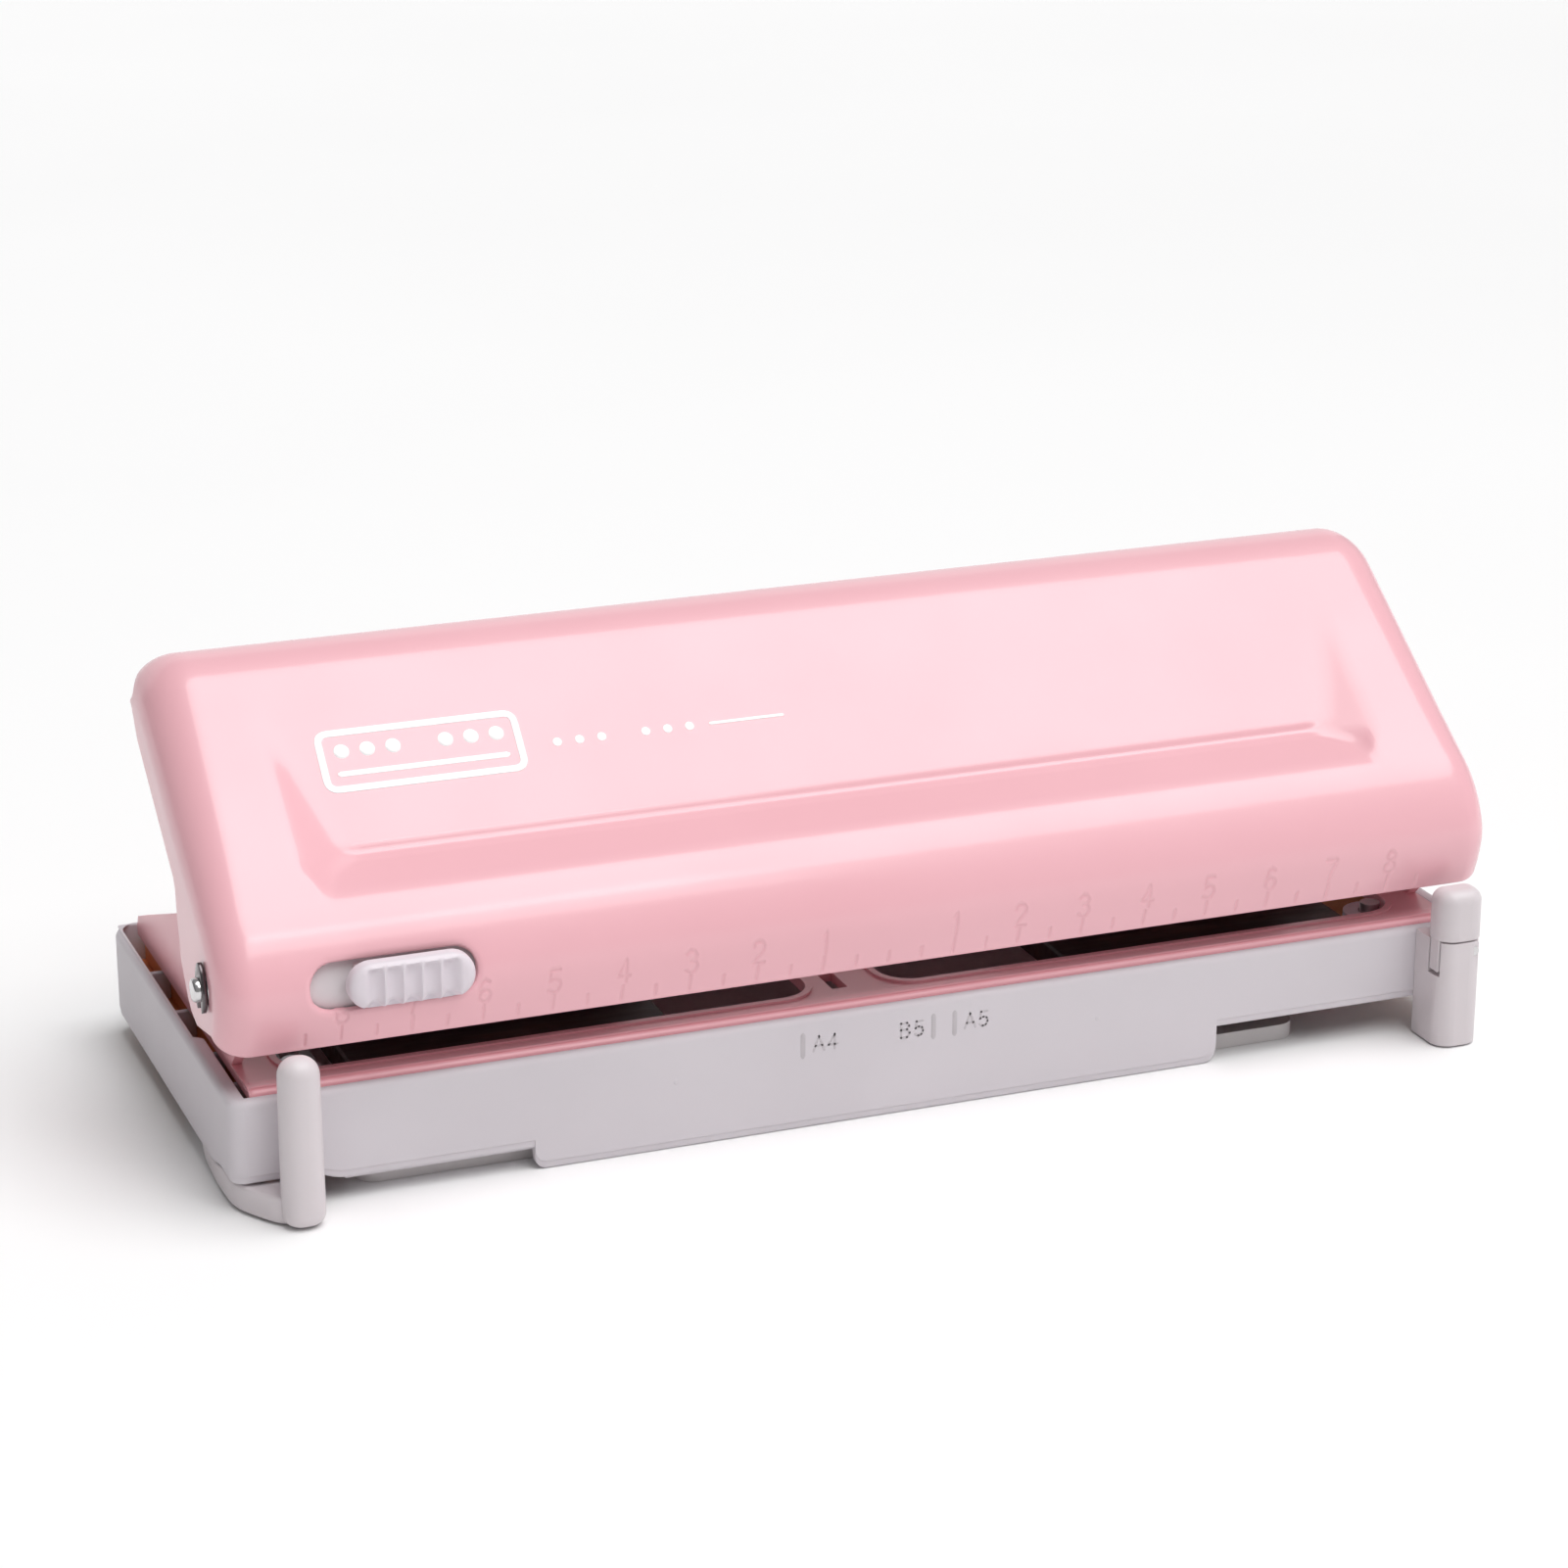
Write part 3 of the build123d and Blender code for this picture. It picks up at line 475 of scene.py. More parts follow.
def ladder(*runs):
    """Joined values from (start, end, step) runs, without repeats."""
    vals = []
    for a, b, step in runs:
        n = max(1, int(round((b - a) / step)))
        vals.extend(np.linspace(a, b, n + 1)[:-1])
    vals.append(runs[-1][1])
    return np.array(sorted(set(np.round(vals, 5))))


def handle_columns(fine):
    """Columns of the handle's grid, closer together at the keyway, marks and dish ends."""
    edge = HALF - END_EDGE
    if fine:
        zones = [(-85.4, -59.6, 0.33)]
        zones += [(sx * 10.0 * n - 1.4, sx * 10.0 * n + 1.4, 0.15)
                  for n in range(1, 9) for sx in (-1, 1)]
        zones += [(5.0 * i - 0.42, 5.0 * i + 0.42, 0.14) for i in range(-17, 18)]
        zones += [(sx * 81.0 - 7.5, sx * 81.0 + 7.5, 0.6) for sx in (-1, 1)]
        marks = set()
        for a, b, step in zones:
            n = int(round((b - a) / step))
            marks.update(np.round(np.linspace(a, b, n + 1) - SHIFT, 4))
        marks.update(np.round(np.arange(-edge, edge + 0.01, 0.9), 4))
        xs = [v for v in sorted(marks) if -edge <= v <= edge]
        kept = [xs[0]]
        for v in xs[1:]:
            if v - kept[-1] > 0.09:
                kept.append(v)
        xs = kept
        turn, flat = 14, 5
    else:
        xs = ladder((-edge, -86, 1.2), (-86, -59, 0.9), (-59, 70, 3.0), (70, edge, 1.2))
        turn, flat = 8, 4
    cols = [("flange", -1, v) for v in np.linspace(0.985, 0, flat + 1)[:-1]]
    cols += [("round", -1, v) for v in np.linspace(math.pi / 2, 0, turn + 1)[:-1]]
    span = HALF - END_SPAN
    scale = [(abs(v) - span) / (edge - span) if abs(v) > span else 0 for v in xs]
    cols += [("main", 0, v if abs(v) <= span else math.copysign(span + k * END_SPAN, v))
             for v, k in zip(xs, scale)]
    cols += [("round", 1, v) for v in np.linspace(0, math.pi / 2, turn + 1)[1:]]
    cols += [("flange", 1, v) for v in np.linspace(0, 0.985, flat + 1)[1:]]
    return cols


def handle_rows(fine):
    """Arc lengths of the handle's rows, closer together at the marks and the creases."""
    if fine:
        return ladder((0.25, 0.7, 0.22), (0.7, 7.0, 0.16), (7.0, 14.0, 0.33), (14.0, 18.0, 0.8),
                      (18.0, 26.0, 0.5), (26.0, 31.5, 0.28), (31.5, 44.0, 1.1), (44.0, 52.0, 1.6),
                      (52.0, S_REAR, 1.2), (S_REAR, S_END - 0.25, 0.8))
    return ladder((0.25, 14.0, 0.9), (14.0, 18.0, 1.0), (18.0, 33.0, 0.9), (33.0, S_REAR, 2.4),
                  (S_REAR, S_END - 0.25, 1.3))


def edge_round(build, outer, inner, out_dir):
    """Rounded strip between an outer and an inner edge line."""
    steps = 6
    pts = []
    for i in range(steps + 1):
        a = math.pi * i / steps
        mid = (outer + inner) / 2
        half = (outer - inner) / 2
        pts.append(mid + half * math.cos(a) + out_dir * 0.25 * math.sin(a) ** 0.6)
    build.grid(np.array(pts))


def snap_key(grid, rows, cols):
    """Moves the grid points nearest the keyway's outline onto it; returns which cells stay."""
    x, z = grid[:, :, 0], grid[:, :, 2]
    front = (rows < S_SLOPE)[:, None] & (x > -90) & (x < -55)
    d = key_distance(x, z)
    cx = (x[:-1, :-1] + x[1:, 1:] + x[:-1, 1:] + x[1:, :-1]) / 4
    cz = (z[:-1, :-1] + z[1:, 1:] + z[:-1, 1:] + z[1:, :-1]) / 4
    inside = (key_distance(cx, cz) < 0) & front[:-1, :-1]
    keep = ~inside
    touch = np.zeros(d.shape, bool)
    rest = np.zeros(d.shape, bool)
    for di in (0, 1):
        for dj in (0, 1):
            touch[di:di + keep.shape[0], dj:dj + keep.shape[1]] |= inside
            rest[di:di + keep.shape[0], dj:dj + keep.shape[1]] |= keep
    border = touch & rest
    reach = KEY_L / 2 - KEY_H / 2
    for r, c in zip(*np.nonzero(border)):
        px, pz = x[r, c], z[r, c]
        ax = min(max(px, KEY_X - reach), KEY_X + reach)
        dx, dz = px - ax, pz - KEY_Z
        length = math.hypot(dx, dz) or 1.0
        nx, nz = ax + dx / length * KEY_H / 2, KEY_Z + dz / length * KEY_H / 2
        z0 = nz + TUCK_DROP * float(tuck_share(nz)) ** 2
        t = math.asin(min(max((z0 - NOSE_Z) / NOSE_R, 0.0), 1.0))
        base = FRONT_Y + NOSE_R - NOSE_R * math.cos(t) + TUCK_Y * float(tuck_share(z0)) ** 2
        grid[r, c] = (nx, base + (grid[r, c, 1] - section(rows[r:r + 1])[0][0]), nz)
    return keep


def make_handle():
    """The handle as one closed sheet: outer skin, inner skin and rounded edges."""
    build = Build()
    rows, cols = handle_rows(True), handle_columns(True)
    outer = handle_surface(rows, cols, 0.0, True)
    keep = snap_key(outer, rows, cols)
    build.grid(outer, keep=keep)
    outer_count = build.count
    low_rows, low_cols = handle_rows(False), handle_columns(False)
    inner = handle_surface(low_rows, low_cols, SHEET, False)
    ix, iz = inner[:, :, 0], inner[:, :, 2]
    solid = key_distance((ix[:-1, :-1] + ix[1:, 1:]) / 2, (iz[:-1, :-1] + iz[1:, 1:]) / 2) > 0.6
    solid |= (low_rows > S_SLOPE)[:-1, None]
    build.grid(inner, flip=True, keep=solid)
    rim_inner = handle_surface(rows, cols, SHEET, False)
    down = np.array([0.0, 0.0, -1.0])
    edge_round(build, rim_inner[0][::-1], outer[0][::-1], down)
    last = section(rows[-1:])
    along = np.array([0.0, last[3][0], -last[2][0]])
    edge_round(build, outer[-1][::-1], rim_inner[-1][::-1], along)
    for col, prev, flip in ((0, 1, True), (-1, -2, False)):
        a, b = outer[:, col], rim_inner[:, col]
        out_dir = a - outer[:, prev]
        out_dir = out_dir / (np.linalg.norm(out_dir, axis=1)[:, None] + 1e-9)
        if flip:
            edge_round(build, a[::-1], b[::-1], out_dir[::-1])
        else:
            edge_round(build, a, b, out_dir)
    obj = piece("handle_skin", build.points(), build.faces, "pink_paint", "handle")
    wall_keyway(obj, outer_count)
    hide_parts("handle_shell")
    return obj


def wall_keyway(obj, outer_count):
    """Gives the keyway's cut edge its thickness."""
    bm = bmesh.new()
    bm.from_mesh(obj.data)
    bm.verts.ensure_lookup_table()
    edges = []
    for e in bm.edges:
        if len(e.link_faces) == 1 and all(v.index < outer_count for v in e.verts):
            a = e.verts[0].co / MM
            if -86 < a.x < -59 and key_distance(np.array(a.x), np.array(a.z)) < 0.2:
                edges.append(e)
    new = bmesh.ops.extrude_edge_only(bm, edges=edges)["geom"]
    move = [v for v in new if isinstance(v, bmesh.types.BMVert)]
    bmesh.ops.translate(bm, verts=move, vec=(0, SHEET * MM, 0))
    walls = [f for f in new if isinstance(f, bmesh.types.BMFace)]
    for f in walls:
        f.smooth = True
        c = f.calc_center_median() / MM
        ax = min(max(c.x, KEY_X - KEY_L / 2 + KEY_H / 2), KEY_X + KEY_L / 2 - KEY_H / 2)
        want = Vector((ax - c.x, 0, KEY_Z - c.z))
        if f.normal.dot(want) < 0:
            f.normal_flip()
    bm.to_mesh(obj.data)
    bm.free()
    obj.data.update()


handle = make_handle()
print("handle faces", len(handle.data.polygons))

# ---------------------------------------------------------------- shape helpers

AXES = {"x": (1, 2, 0), "y": (2, 0, 1), "z": (0, 1, 2)}


def levels(t0, t1, low, high, n=4):
    """Positions and insets of a pile of rings whose two ends are rounded over."""
    angles = np.linspace(0, math.pi / 2, n + 1)
    out = [(t0 + low * (1 - math.cos(a)), low * (1 - math.sin(a))) for a in angles]
    out += [(t1 - high * (1 - math.sin(a)), high * (1 - math.cos(a))) for a in angles]
    return out


def ring(cx, cy, hx, hy, r, n=4):
    """Rounded rectangle, anticlockwise."""
    r = max(min(r, hx, hy), 0.01)
    pts = []
    for k, (sx, sy) in enumerate(((1, 1), (-1, 1), (-1, -1), (1, -1))):
        for a in np.linspace(math.pi / 2 * k, math.pi / 2 * (k + 1), n + 1):
            pts.append((cx + sx * (hx - r) + r * math.cos(a), cy + sy * (hy - r) + r * math.sin(a)))
    return np.array(pts)


def placed(flat, axis, t):
    """A flat outline put at position t on an axis."""
    u, v, w = AXES[axis]
    out = np.zeros((len(flat), 3))
    out[:, u], out[:, v], out[:, w] = flat[:, 0], flat[:, 1], t
    return out


def stack(build, loops):
    """Closed skin through a pile of matching rings."""
    idx = build.grid(np.array(loops), wrap=True)
    build.faces.append(tuple(idx[0, :-1][::-1].tolist()))
    build.faces.append(tuple(idx[-1, :-1].tolist()))


def soft_box(build, x, y, z, r, n=3):
    """Box from spans (x0, x1), (y0, y1), (z0, z1) with rounded edges."""
    mid = (x[0] + x[1]) / 2, (y[0] + y[1]) / 2
    half = (x[1] - x[0]) / 2, (y[1] - y[0]) / 2
    stack(build, [placed(ring(mid[0], mid[1], half[0] - i, half[1] - i, r - i, n), "z", t)
                  for t, i in levels(z[0], z[1], r, r, n)])


def lathe(build, axis, origin, profile, n=32):
    """Turned shape from (position, radius) pairs along an axis."""
    u, v, w = AXES[axis]
    a = np.linspace(0, 2 * math.pi, n, endpoint=False)
    loops = []
    for t, r in profile:
        flat = np.column_stack([origin[u] + r * np.cos(a), origin[v] + r * np.sin(a)])
        loops.append(placed(flat, axis, origin[w] + t))
    stack(build, loops)


def rounded(outline, r, n=5):
    """An outline with its corners cut by smooth curves."""
    pts = np.array(outline, float)
    out = []
    for i, p in enumerate(pts):
        a, b = pts[i - 1], pts[(i + 1) % len(pts)]
        la, lb = np.linalg.norm(a - p), np.linalg.norm(b - p)
        k = min(r, la * 0.48, lb * 0.48)
        p0, p1 = p + (a - p) / la * k, p + (b - p) / lb * k
        for t in np.linspace(0, 1, n + 1):
            out.append((1 - t) ** 2 * p0 + 2 * t * (1 - t) * p + t * t * p1)
    return np.array(out)


def shrunk(outline, inset):
    """An anticlockwise outline moved inwards."""
    nxt, prv = np.roll(outline, -1, axis=0), np.roll(outline, 1, axis=0)
    d = nxt - prv
    d = d / (np.linalg.norm(d, axis=1)[:, None] + 1e-9)
    return outline + np.column_stack([-d[:, 1], d[:, 0]]) * inset


def prism(build, axis, outline, t0, t1, r=0.3, n=2):
    """Flat outline, anticlockwise in its plane, given thickness and rounded edges."""
    stack(build, [placed(shrunk(outline, i), axis, t) for t, i in levels(t0, t1, r, r, n)])


def made(name, build, mat, body, sharp=50.0):
    """Makes a piece of what a Build has collected."""
    return piece(name, build.points(), build.faces, mat, body, sharp=sharp)

# ---------------------------------------------------------------- tray


TRAY_X, TRAY_Y0, TRAY_Y1, TRAY_Z = 95.7, -33.0, 40.0, 16.8
APRON, APRON_R = 52.8, 1.8
SKIRT = {-1: 3.4, 1: 5.6}


def tray_path():
    """Points and outward directions round the tray, anticlockwise from above."""
    front_r, back_r = 2.2, 4.0
    steps = [APRON - APRON_R * k for k in (1, 0.85, 0.6, 0.35, 0.15, 0.04, 0)] + [APRON + 0.02]
    xs = sorted(set([-s for s in steps] + steps + [0, -30, 30, 75]
                    + list(np.arange(-93.4, -78, 0.8)) + [-TRAY_X + front_r, TRAY_X - front_r]))
    xs = [x for x in xs if abs(x) <= TRAY_X - front_r]
    ys = list(np.arange(-30.8, -14, 0.8)) + [-9.2, -8.8, -8.4, -8.0, -7.6, 0, 15, 30, 36]
    out = [(x, TRAY_Y0, 0, -1) for x in xs]

    def arc(cx, cy, r, k):
        for a in np.linspace(math.pi / 2 * k, math.pi / 2 * (k + 1), 7)[1:-1]:
            out.append((cx + r * math.cos(a), cy + r * math.sin(a), math.cos(a), math.sin(a)))

    arc(TRAY_X - front_r, TRAY_Y0 + front_r, front_r, 3)
    out.extend((TRAY_X, y, 1, 0) for y in ys)
    arc(TRAY_X - back_r, TRAY_Y1 - back_r, back_r, 0)
    out.extend((x, TRAY_Y1, 0, 1) for x in xs[::-1] if abs(x) <= TRAY_X - back_r)
    arc(-TRAY_X + back_r, TRAY_Y1 - back_r, back_r, 1)
    out.extend((-TRAY_X, y, -1, 0) for y in ys[::-1])
    arc(-TRAY_X + front_r, TRAY_Y0 + front_r, front_r, 2)
    return out


def tray_bottom(x, y):
    """Height of the tray's lower edge."""
    side = -1 if x < 0 else 1
    if abs(x) > APRON:
        low = SKIRT[side]
        if side < 0 and y < -10:
            low += 1.2 * float(smoothstep((-20.0 - y) / 6.0)) * float(smoothstep((-80.0 - x) / 5.0))
        return low
    inside = max(abs(x) - (APRON - APRON_R), 0.0)
    return APRON_R - math.sqrt(max(APRON_R ** 2 - inside ** 2, 0.0))


def make_tray():
    """The tray's wall, its end wells with their ribs, and the parts inside; the wells are lined
    with brown panels that stand in for the shade and warm bounce light in them (painted shade).
    """
    build = Build()
    loops = []
    for x, y, nx, ny in tray_path():
        low = tray_bottom(x, y)
        end_wall = 1.0 + 1.5 * float(smoothstep((-7.6 - y) / 1.6))
        ix = min(max(x, -TRAY_X + end_wall), TRAY_X - end_wall)
        iy = min(max(y, TRAY_Y0 + 1.5), TRAY_Y1 - 1.5)
        out_r, in_r, foot_r = 1.1, 0.3, 0.4
        pts = [(ix, iy, low + 0.3), (ix, iy, (low + TRAY_Z) / 2)]
        for a in np.linspace(math.pi, math.pi / 2, 4):
            k = in_r * (1 + math.cos(a))
            pts.append((ix + nx * k, iy + ny * k, TRAY_Z - in_r + in_r * math.sin(a)))
        for a in np.linspace(math.pi / 2, 0, 7):
            k = -out_r + out_r * math.cos(a)
            pts.append((x + nx * k, y + ny * k, TRAY_Z - out_r + out_r * math.sin(a)))
        pts.append((x, y, low + 1.35))
        pts.append((x, y, low + 1.2))
        pts.append((x - nx * 0.14, y - ny * 0.14, low + 1.1))
        for a in np.linspace(0, math.pi / 2, 4):
            k = -0.14 - foot_r + foot_r * math.cos(a)
            pts.append((x + nx * k, y + ny * k, low + foot_r - foot_r * math.sin(a)))
        pts.append((ix + nx * 0.2, iy + ny * 0.2, low))
        loops.append(pts)
    loops.append(loops[0])
    build.grid(np.array(loops), wrap=True)
    wall = made("tray_wall", build, "white_plastic", "base", 40)
    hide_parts("tray")
    # Brown panels laid in the end wells paint in the shade and bounce light there.
    shade_liner, ribs, inside = Build(), Build(), Build()
    for side in (-1, 1):
        skirt = SKIRT[side]
        ends = sorted((side * 90.95, side * 89.55))
        soft_box(shade_liner, ends, (-31.6, 38.6), (skirt + 0.25, 15.6), 0.2)
        ends = sorted((side * 94.9, side * 90.9))
        soft_box(shade_liner, ends, (-31.6, 38.6), (9.8, 11.0), 0.15)
        for y in (-22.5, -11.0, 6.0, 22.0):
            soft_box(ribs, ends, (y - 0.5, y + 0.5), (10.9, 15.2), 0.2)
        for y in (-22.0, 31.0):
            x = side * 84.0
            lathe(inside, "z", (x, y, 0), [(6.6, 3.1), (6.6, 3.7), (7.0, 4.0), (15.9, 4.0),
                                          (15.9, 1.7), (9.0, 1.7), (9.0, 3.1)], 28)
            web = sorted((x + side * 3.6, side * 90.0))
            soft_box(inside, web, (y - 0.8, y + 0.8), (6.6, 15.4), 0.15)
    for y in ((-31.6, -26.4), (33.4, 38.6)):
        soft_box(inside, (-79.7, APRON), y, (2.7, 4.0), 0.2)
    lathe(inside, "z", (-86.0, 2.0, 0), [(3.35, 1.6), (3.35, 3.7), (3.65, 4.0), (15.0, 4.0),
                                         (15.0, 1.3)], 28)
    made("tray_wells_painted_shade", shade_liner, "well_shade_brown", "base")
    made("tray_ribs", ribs, "white_plastic", "base")
    made("tray_inside", inside, "white_plastic", "base")


def ribbon(build, line, width, place, rise=0.05, step=0.8):
    """Flat raised stroke along a polyline, put on a surface by place(u, v, height)."""
    for a, b in zip(line[:-1], line[1:]):
        a, b = np.array(a, float), np.array(b, float)
        length = np.linalg.norm(b - a)
        d = (b - a) / max(length, 1e-6)
        side = np.array([-d[1], d[0]]) * width / 2
        n = max(1, int(math.ceil(length / step)))
        rows = []
        for i in range(-1, n + 2):
            t = min(max(i, 0), n) / n
            c = a + (b - a) * t
            grow = 1.0
            if i in (-1, n + 1):
                c = c + d * width / 2 * (1 if i > 0 else -1)
                grow = 0.35
            row = []
            for k, h in ((-1.0, 0.0), (-0.9, 1.0), (0.9, 1.0), (1.0, 0.0)):
                p = c + side * k * grow
                row.append(place(p[0], p[1], rise * h - 0.01))
            rows.append(row)
        build.grid(np.array(rows), flip=True)


def band(build, outline, width, place, rise=0.12, step=0.8):
    """Flat raised stroke along a closed outline, anticlockwise on the surface."""
    dense = []
    for a, b in zip(outline, np.roll(outline, -1, axis=0)):
        n = max(1, int(math.ceil(np.linalg.norm(b - a) / step)))
        dense.extend(a + (b - a) * i / n for i in range(n))
    rows = []
    for k, h in ((-1.0, 0.0), (-0.9, 1.0), (0.9, 1.0), (1.0, 0.0)):
        line = shrunk(np.array(dense), k * width / 2)
        rows.append([place(u, v, rise * h - 0.02) for u, v in line])
    build.grid(np.array(rows), wrap=True)


def dot(build, u, v, r, place, rise=0.1):
    """Flat raised disc on a surface."""
    rows = []
    for k, h in ((1.0, 0.0), (0.93, 1.0), (0.5, 1.0), (0.02, 1.0)):
        rows.append([place(u + r * k * math.cos(a), v + r * k * math.sin(a), rise * h - 0.02)
                     for a in np.linspace(0, 2 * math.pi, 20, endpoint=False)])
    build.grid(np.array(rows), wrap=True)


GLYPHS = {
    "A": [[(0.0, 0.0), (0.5, 1.0), (1.0, 0.0)], [(0.2, 0.35), (0.8, 0.35)]],
    "B": [[(0.1, 0.0), (0.1, 1.0), (0.65, 1.0), (0.85, 0.78), (0.65, 0.54), (0.1, 0.54)],
          [(0.65, 0.54), (0.9, 0.28), (0.65, 0.0), (0.1, 0.0)]],
}


def make_tray_marks():
    """Paper-size marks and gate marks on the tray's front."""
    build = Build()

    def front(u, v, h):
        return (u, TRAY_Y0 - h, v)

    for x in (-12.9, 7.2, 10.5):
        ribbon(build, [(x, 11.05), (x, 14.25)], 0.75, front, 0.03)
    for text, x in (("A4", -11.3), ("B5", 2.0), ("A5", 12.1)):
        for i, letter in enumerate(text):
            lines = GLYPHS.get(letter) or DIGITS[int(letter)]
            x0 = x + 2.15 * i
            for line in lines:
                ribbon(build, [(x0 + 1.65 * u, 11.6 + 2.2 * v) for u, v in line], 0.36, front, 0.03)
    made("tray_size_marks", build, "mark_grey", "base")
    dots = Build()
    for x, z in ((-32.0, 10.1), (33.2, 10.0)):
        lathe(dots, "y", (x, TRAY_Y0, z), [(-0.07, 0.1), (-0.06, 0.25), (-0.02, 0.36), (0.02, 0.42),
                                          (0.1, 0.42)], 20)
    made("tray_gate_marks", dots, "white_plastic", "base")

# ---------------------------------------------------------------- base plate's front


def make_plate_front():
    """Rolled front edge of the plate: a shallow gutter, a bead and a rounded nose."""
    build = Build()
    prof = [(-27.82, 17.42), (-28.2, 17.47), (-28.7, 17.45), (-29.1, 17.42), (-29.45, 17.43),
            (-29.7, 17.5), (-29.95, 17.62), (-30.15, 17.68), (-30.4, 17.66), (-30.62, 17.56)]
    for a in np.linspace(math.radians(70), 0, 7):
        prof.append((-30.0 - 1.25 * math.sin(math.pi / 2 - a), 16.35 + 1.2 * math.sin(a)))
    prof.append((-31.25, 14.0))
    xs = [-92.4, -92.25, -92.0, -91.6] + list(np.linspace(-90, 90, 13)) + [91.6, 92.0, 92.25, 92.4]
    loops = []
    for x in xs:
        k = max(0.0, abs(x) - 91.6) / 0.8
        drop = 0.55 * (1 - math.sqrt(max(1 - k * k, 0.0)))
        loops.append([(x, y, max(z - drop, 14.0)) for y, z in prof])
    build.grid(np.array(loops), flip=False)
    # Painted with the darker enamel copy that stands in for the shade under the handle.
    obj = made("plate_rolled_front", build, "plate_paint_throat_shade", "base")
    return obj

# ---------------------------------------------------------------- paper stop on the left


def make_left_stop():
    """The swinging paper stop: a flat arm under the tray and a round upright."""
    build = Build()
    outline = [(-81.8, 2.0), (-83.2, 6.6), (-87.0, 7.9), (-91.2, 5.0), (-92.6, -2.0),
               (-94.9, -12.0), (-95.5, -24.0), (-95.2, -30.5), (-93.0, -34.6), (-90.2, -38.6),
               (-84.4, -38.6), (-84.4, -34.0), (-88.4, -30.5), (-89.4, -24.0), (-87.2, -12.0)]
    flat = rounded(outline, 4.0, 6)
    loops = []
    for t, inset in levels(0.0, 1.0, 0.22, 0.14, 4):
        pts = shrunk(flat, inset * 3.2)
        top = 2.95 + 1.3 * smoothstep((-19.0 - pts[:, 1]) / 7.0)
        loops.append(np.column_stack([pts, 0.25 + (top - 0.25) * t]))
    stack(build, loops)
    cx, cy = -87.3, -38.25
    loops = []
    for z, inset in levels(0.25, 24.5, 1.7, 2.55, 7):
        grow = 0.12 * (1 - z / 24.5) - inset
        flat = ring(cx, cy, 2.88 + grow, 2.63 + grow, 2.6 - inset * 0.98, 6)
        loops.append(placed(flat, "z", z))
    stack(build, loops)
    obj = made("left_stop_lever", build, "lever_plastic", "stop_arm", 60)
    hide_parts("stop_arm_left")

# ---------------------------------------------------------------- pivot


PIVOT = (0.0, -26.0, 31.0)


def make_pivot():
    """The handle's shaft with grooved tips, and its retaining clips."""
    shaft = Build()
    left, right = -98.4, 99.2
    tip = [(0.0, 0.05), (0.01, 1.2), (0.06, 1.4), (0.18, 1.58), (0.35, 1.66), (0.95, 1.7),
           (0.96, 1.15), (1.65, 1.15), (1.66, 2.2), (1.8, 2.4), (2.0, 2.5)]
    profile = [(left + t, r) for t, r in tip] + [(-60, 2.5), (60, 2.5)]
    profile += [(right - t, r) for t, r in tip[::-1]]
    lathe(shaft, "x", PIVOT, profile, 40)
    obj = made("pivot_pin", shaft, "shaft_chrome", "base", 35)
    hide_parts("pivot_shaft")
    rings = Build()
    for x in (left + 0.98, right - 1.62):
        outer, inner = [], []
        for a in np.linspace(math.radians(-62), math.radians(242), 49):
            lobe = 0.5 + 0.5 * math.cos(3 * (a - math.pi / 2))
            reach = 1.0 - 0.16 * (1 - lobe)
            outer.append((PIVOT[1] + 2.5 * reach * math.cos(a),
                          PIVOT[2] + 3.85 * reach * math.sin(a)))
            r = 1.22 + 0.75 * (1 - lobe)
            inner.append((PIVOT[1] + r * 0.9 * math.cos(a), PIVOT[2] + r * math.sin(a)))
        flat = np.array(outer + inner[::-1])
        prism(rings, "x", flat, x, x + 0.64, 0.12, 2)
    obj = made("pivot_retaining_clips", rings, "clip_steel", "base", 40)
    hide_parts("pivot_clips")

# ---------------------------------------------------------------- lock slider


BUTTON = (-70.6, 32.2)
BUTTON_HX, BUTTON_HZ, BUTTON_FRONT, BUTTON_BACK = 8.9, 3.3, -37.2, -34.9


def flute(x):
    """Depth of the button's grooves across X, 0 to 1."""
    t = (x - BUTTON[0] + 6.5) / 2.6
    f = t - np.floor(t)
    return np.where((t > 0) & (t < 5), 1 - (2 * f - 1) ** 2, 0.0)


def stadium(inset):
    """Outline of the button as (x, z), anticlockwise seen from the front, with dense sides."""
    r = max(BUTTON_HZ - inset, 0.0)
    reach = BUTTON_HX - BUTTON_HZ
    side = np.linspace(-reach, reach, 57)
    arcs = np.linspace(-math.pi / 2, math.pi / 2, 17)[1:-1]
    pts = [(x, -r) for x in side]
    pts += [(reach + r * math.cos(a), r * math.sin(a)) for a in arcs]
    pts += [(x, r) for x in side[::-1]]
    pts += [(-reach - r * math.cos(a), r * math.sin(-a)) for a in arcs]
    return np.array(pts) + BUTTON


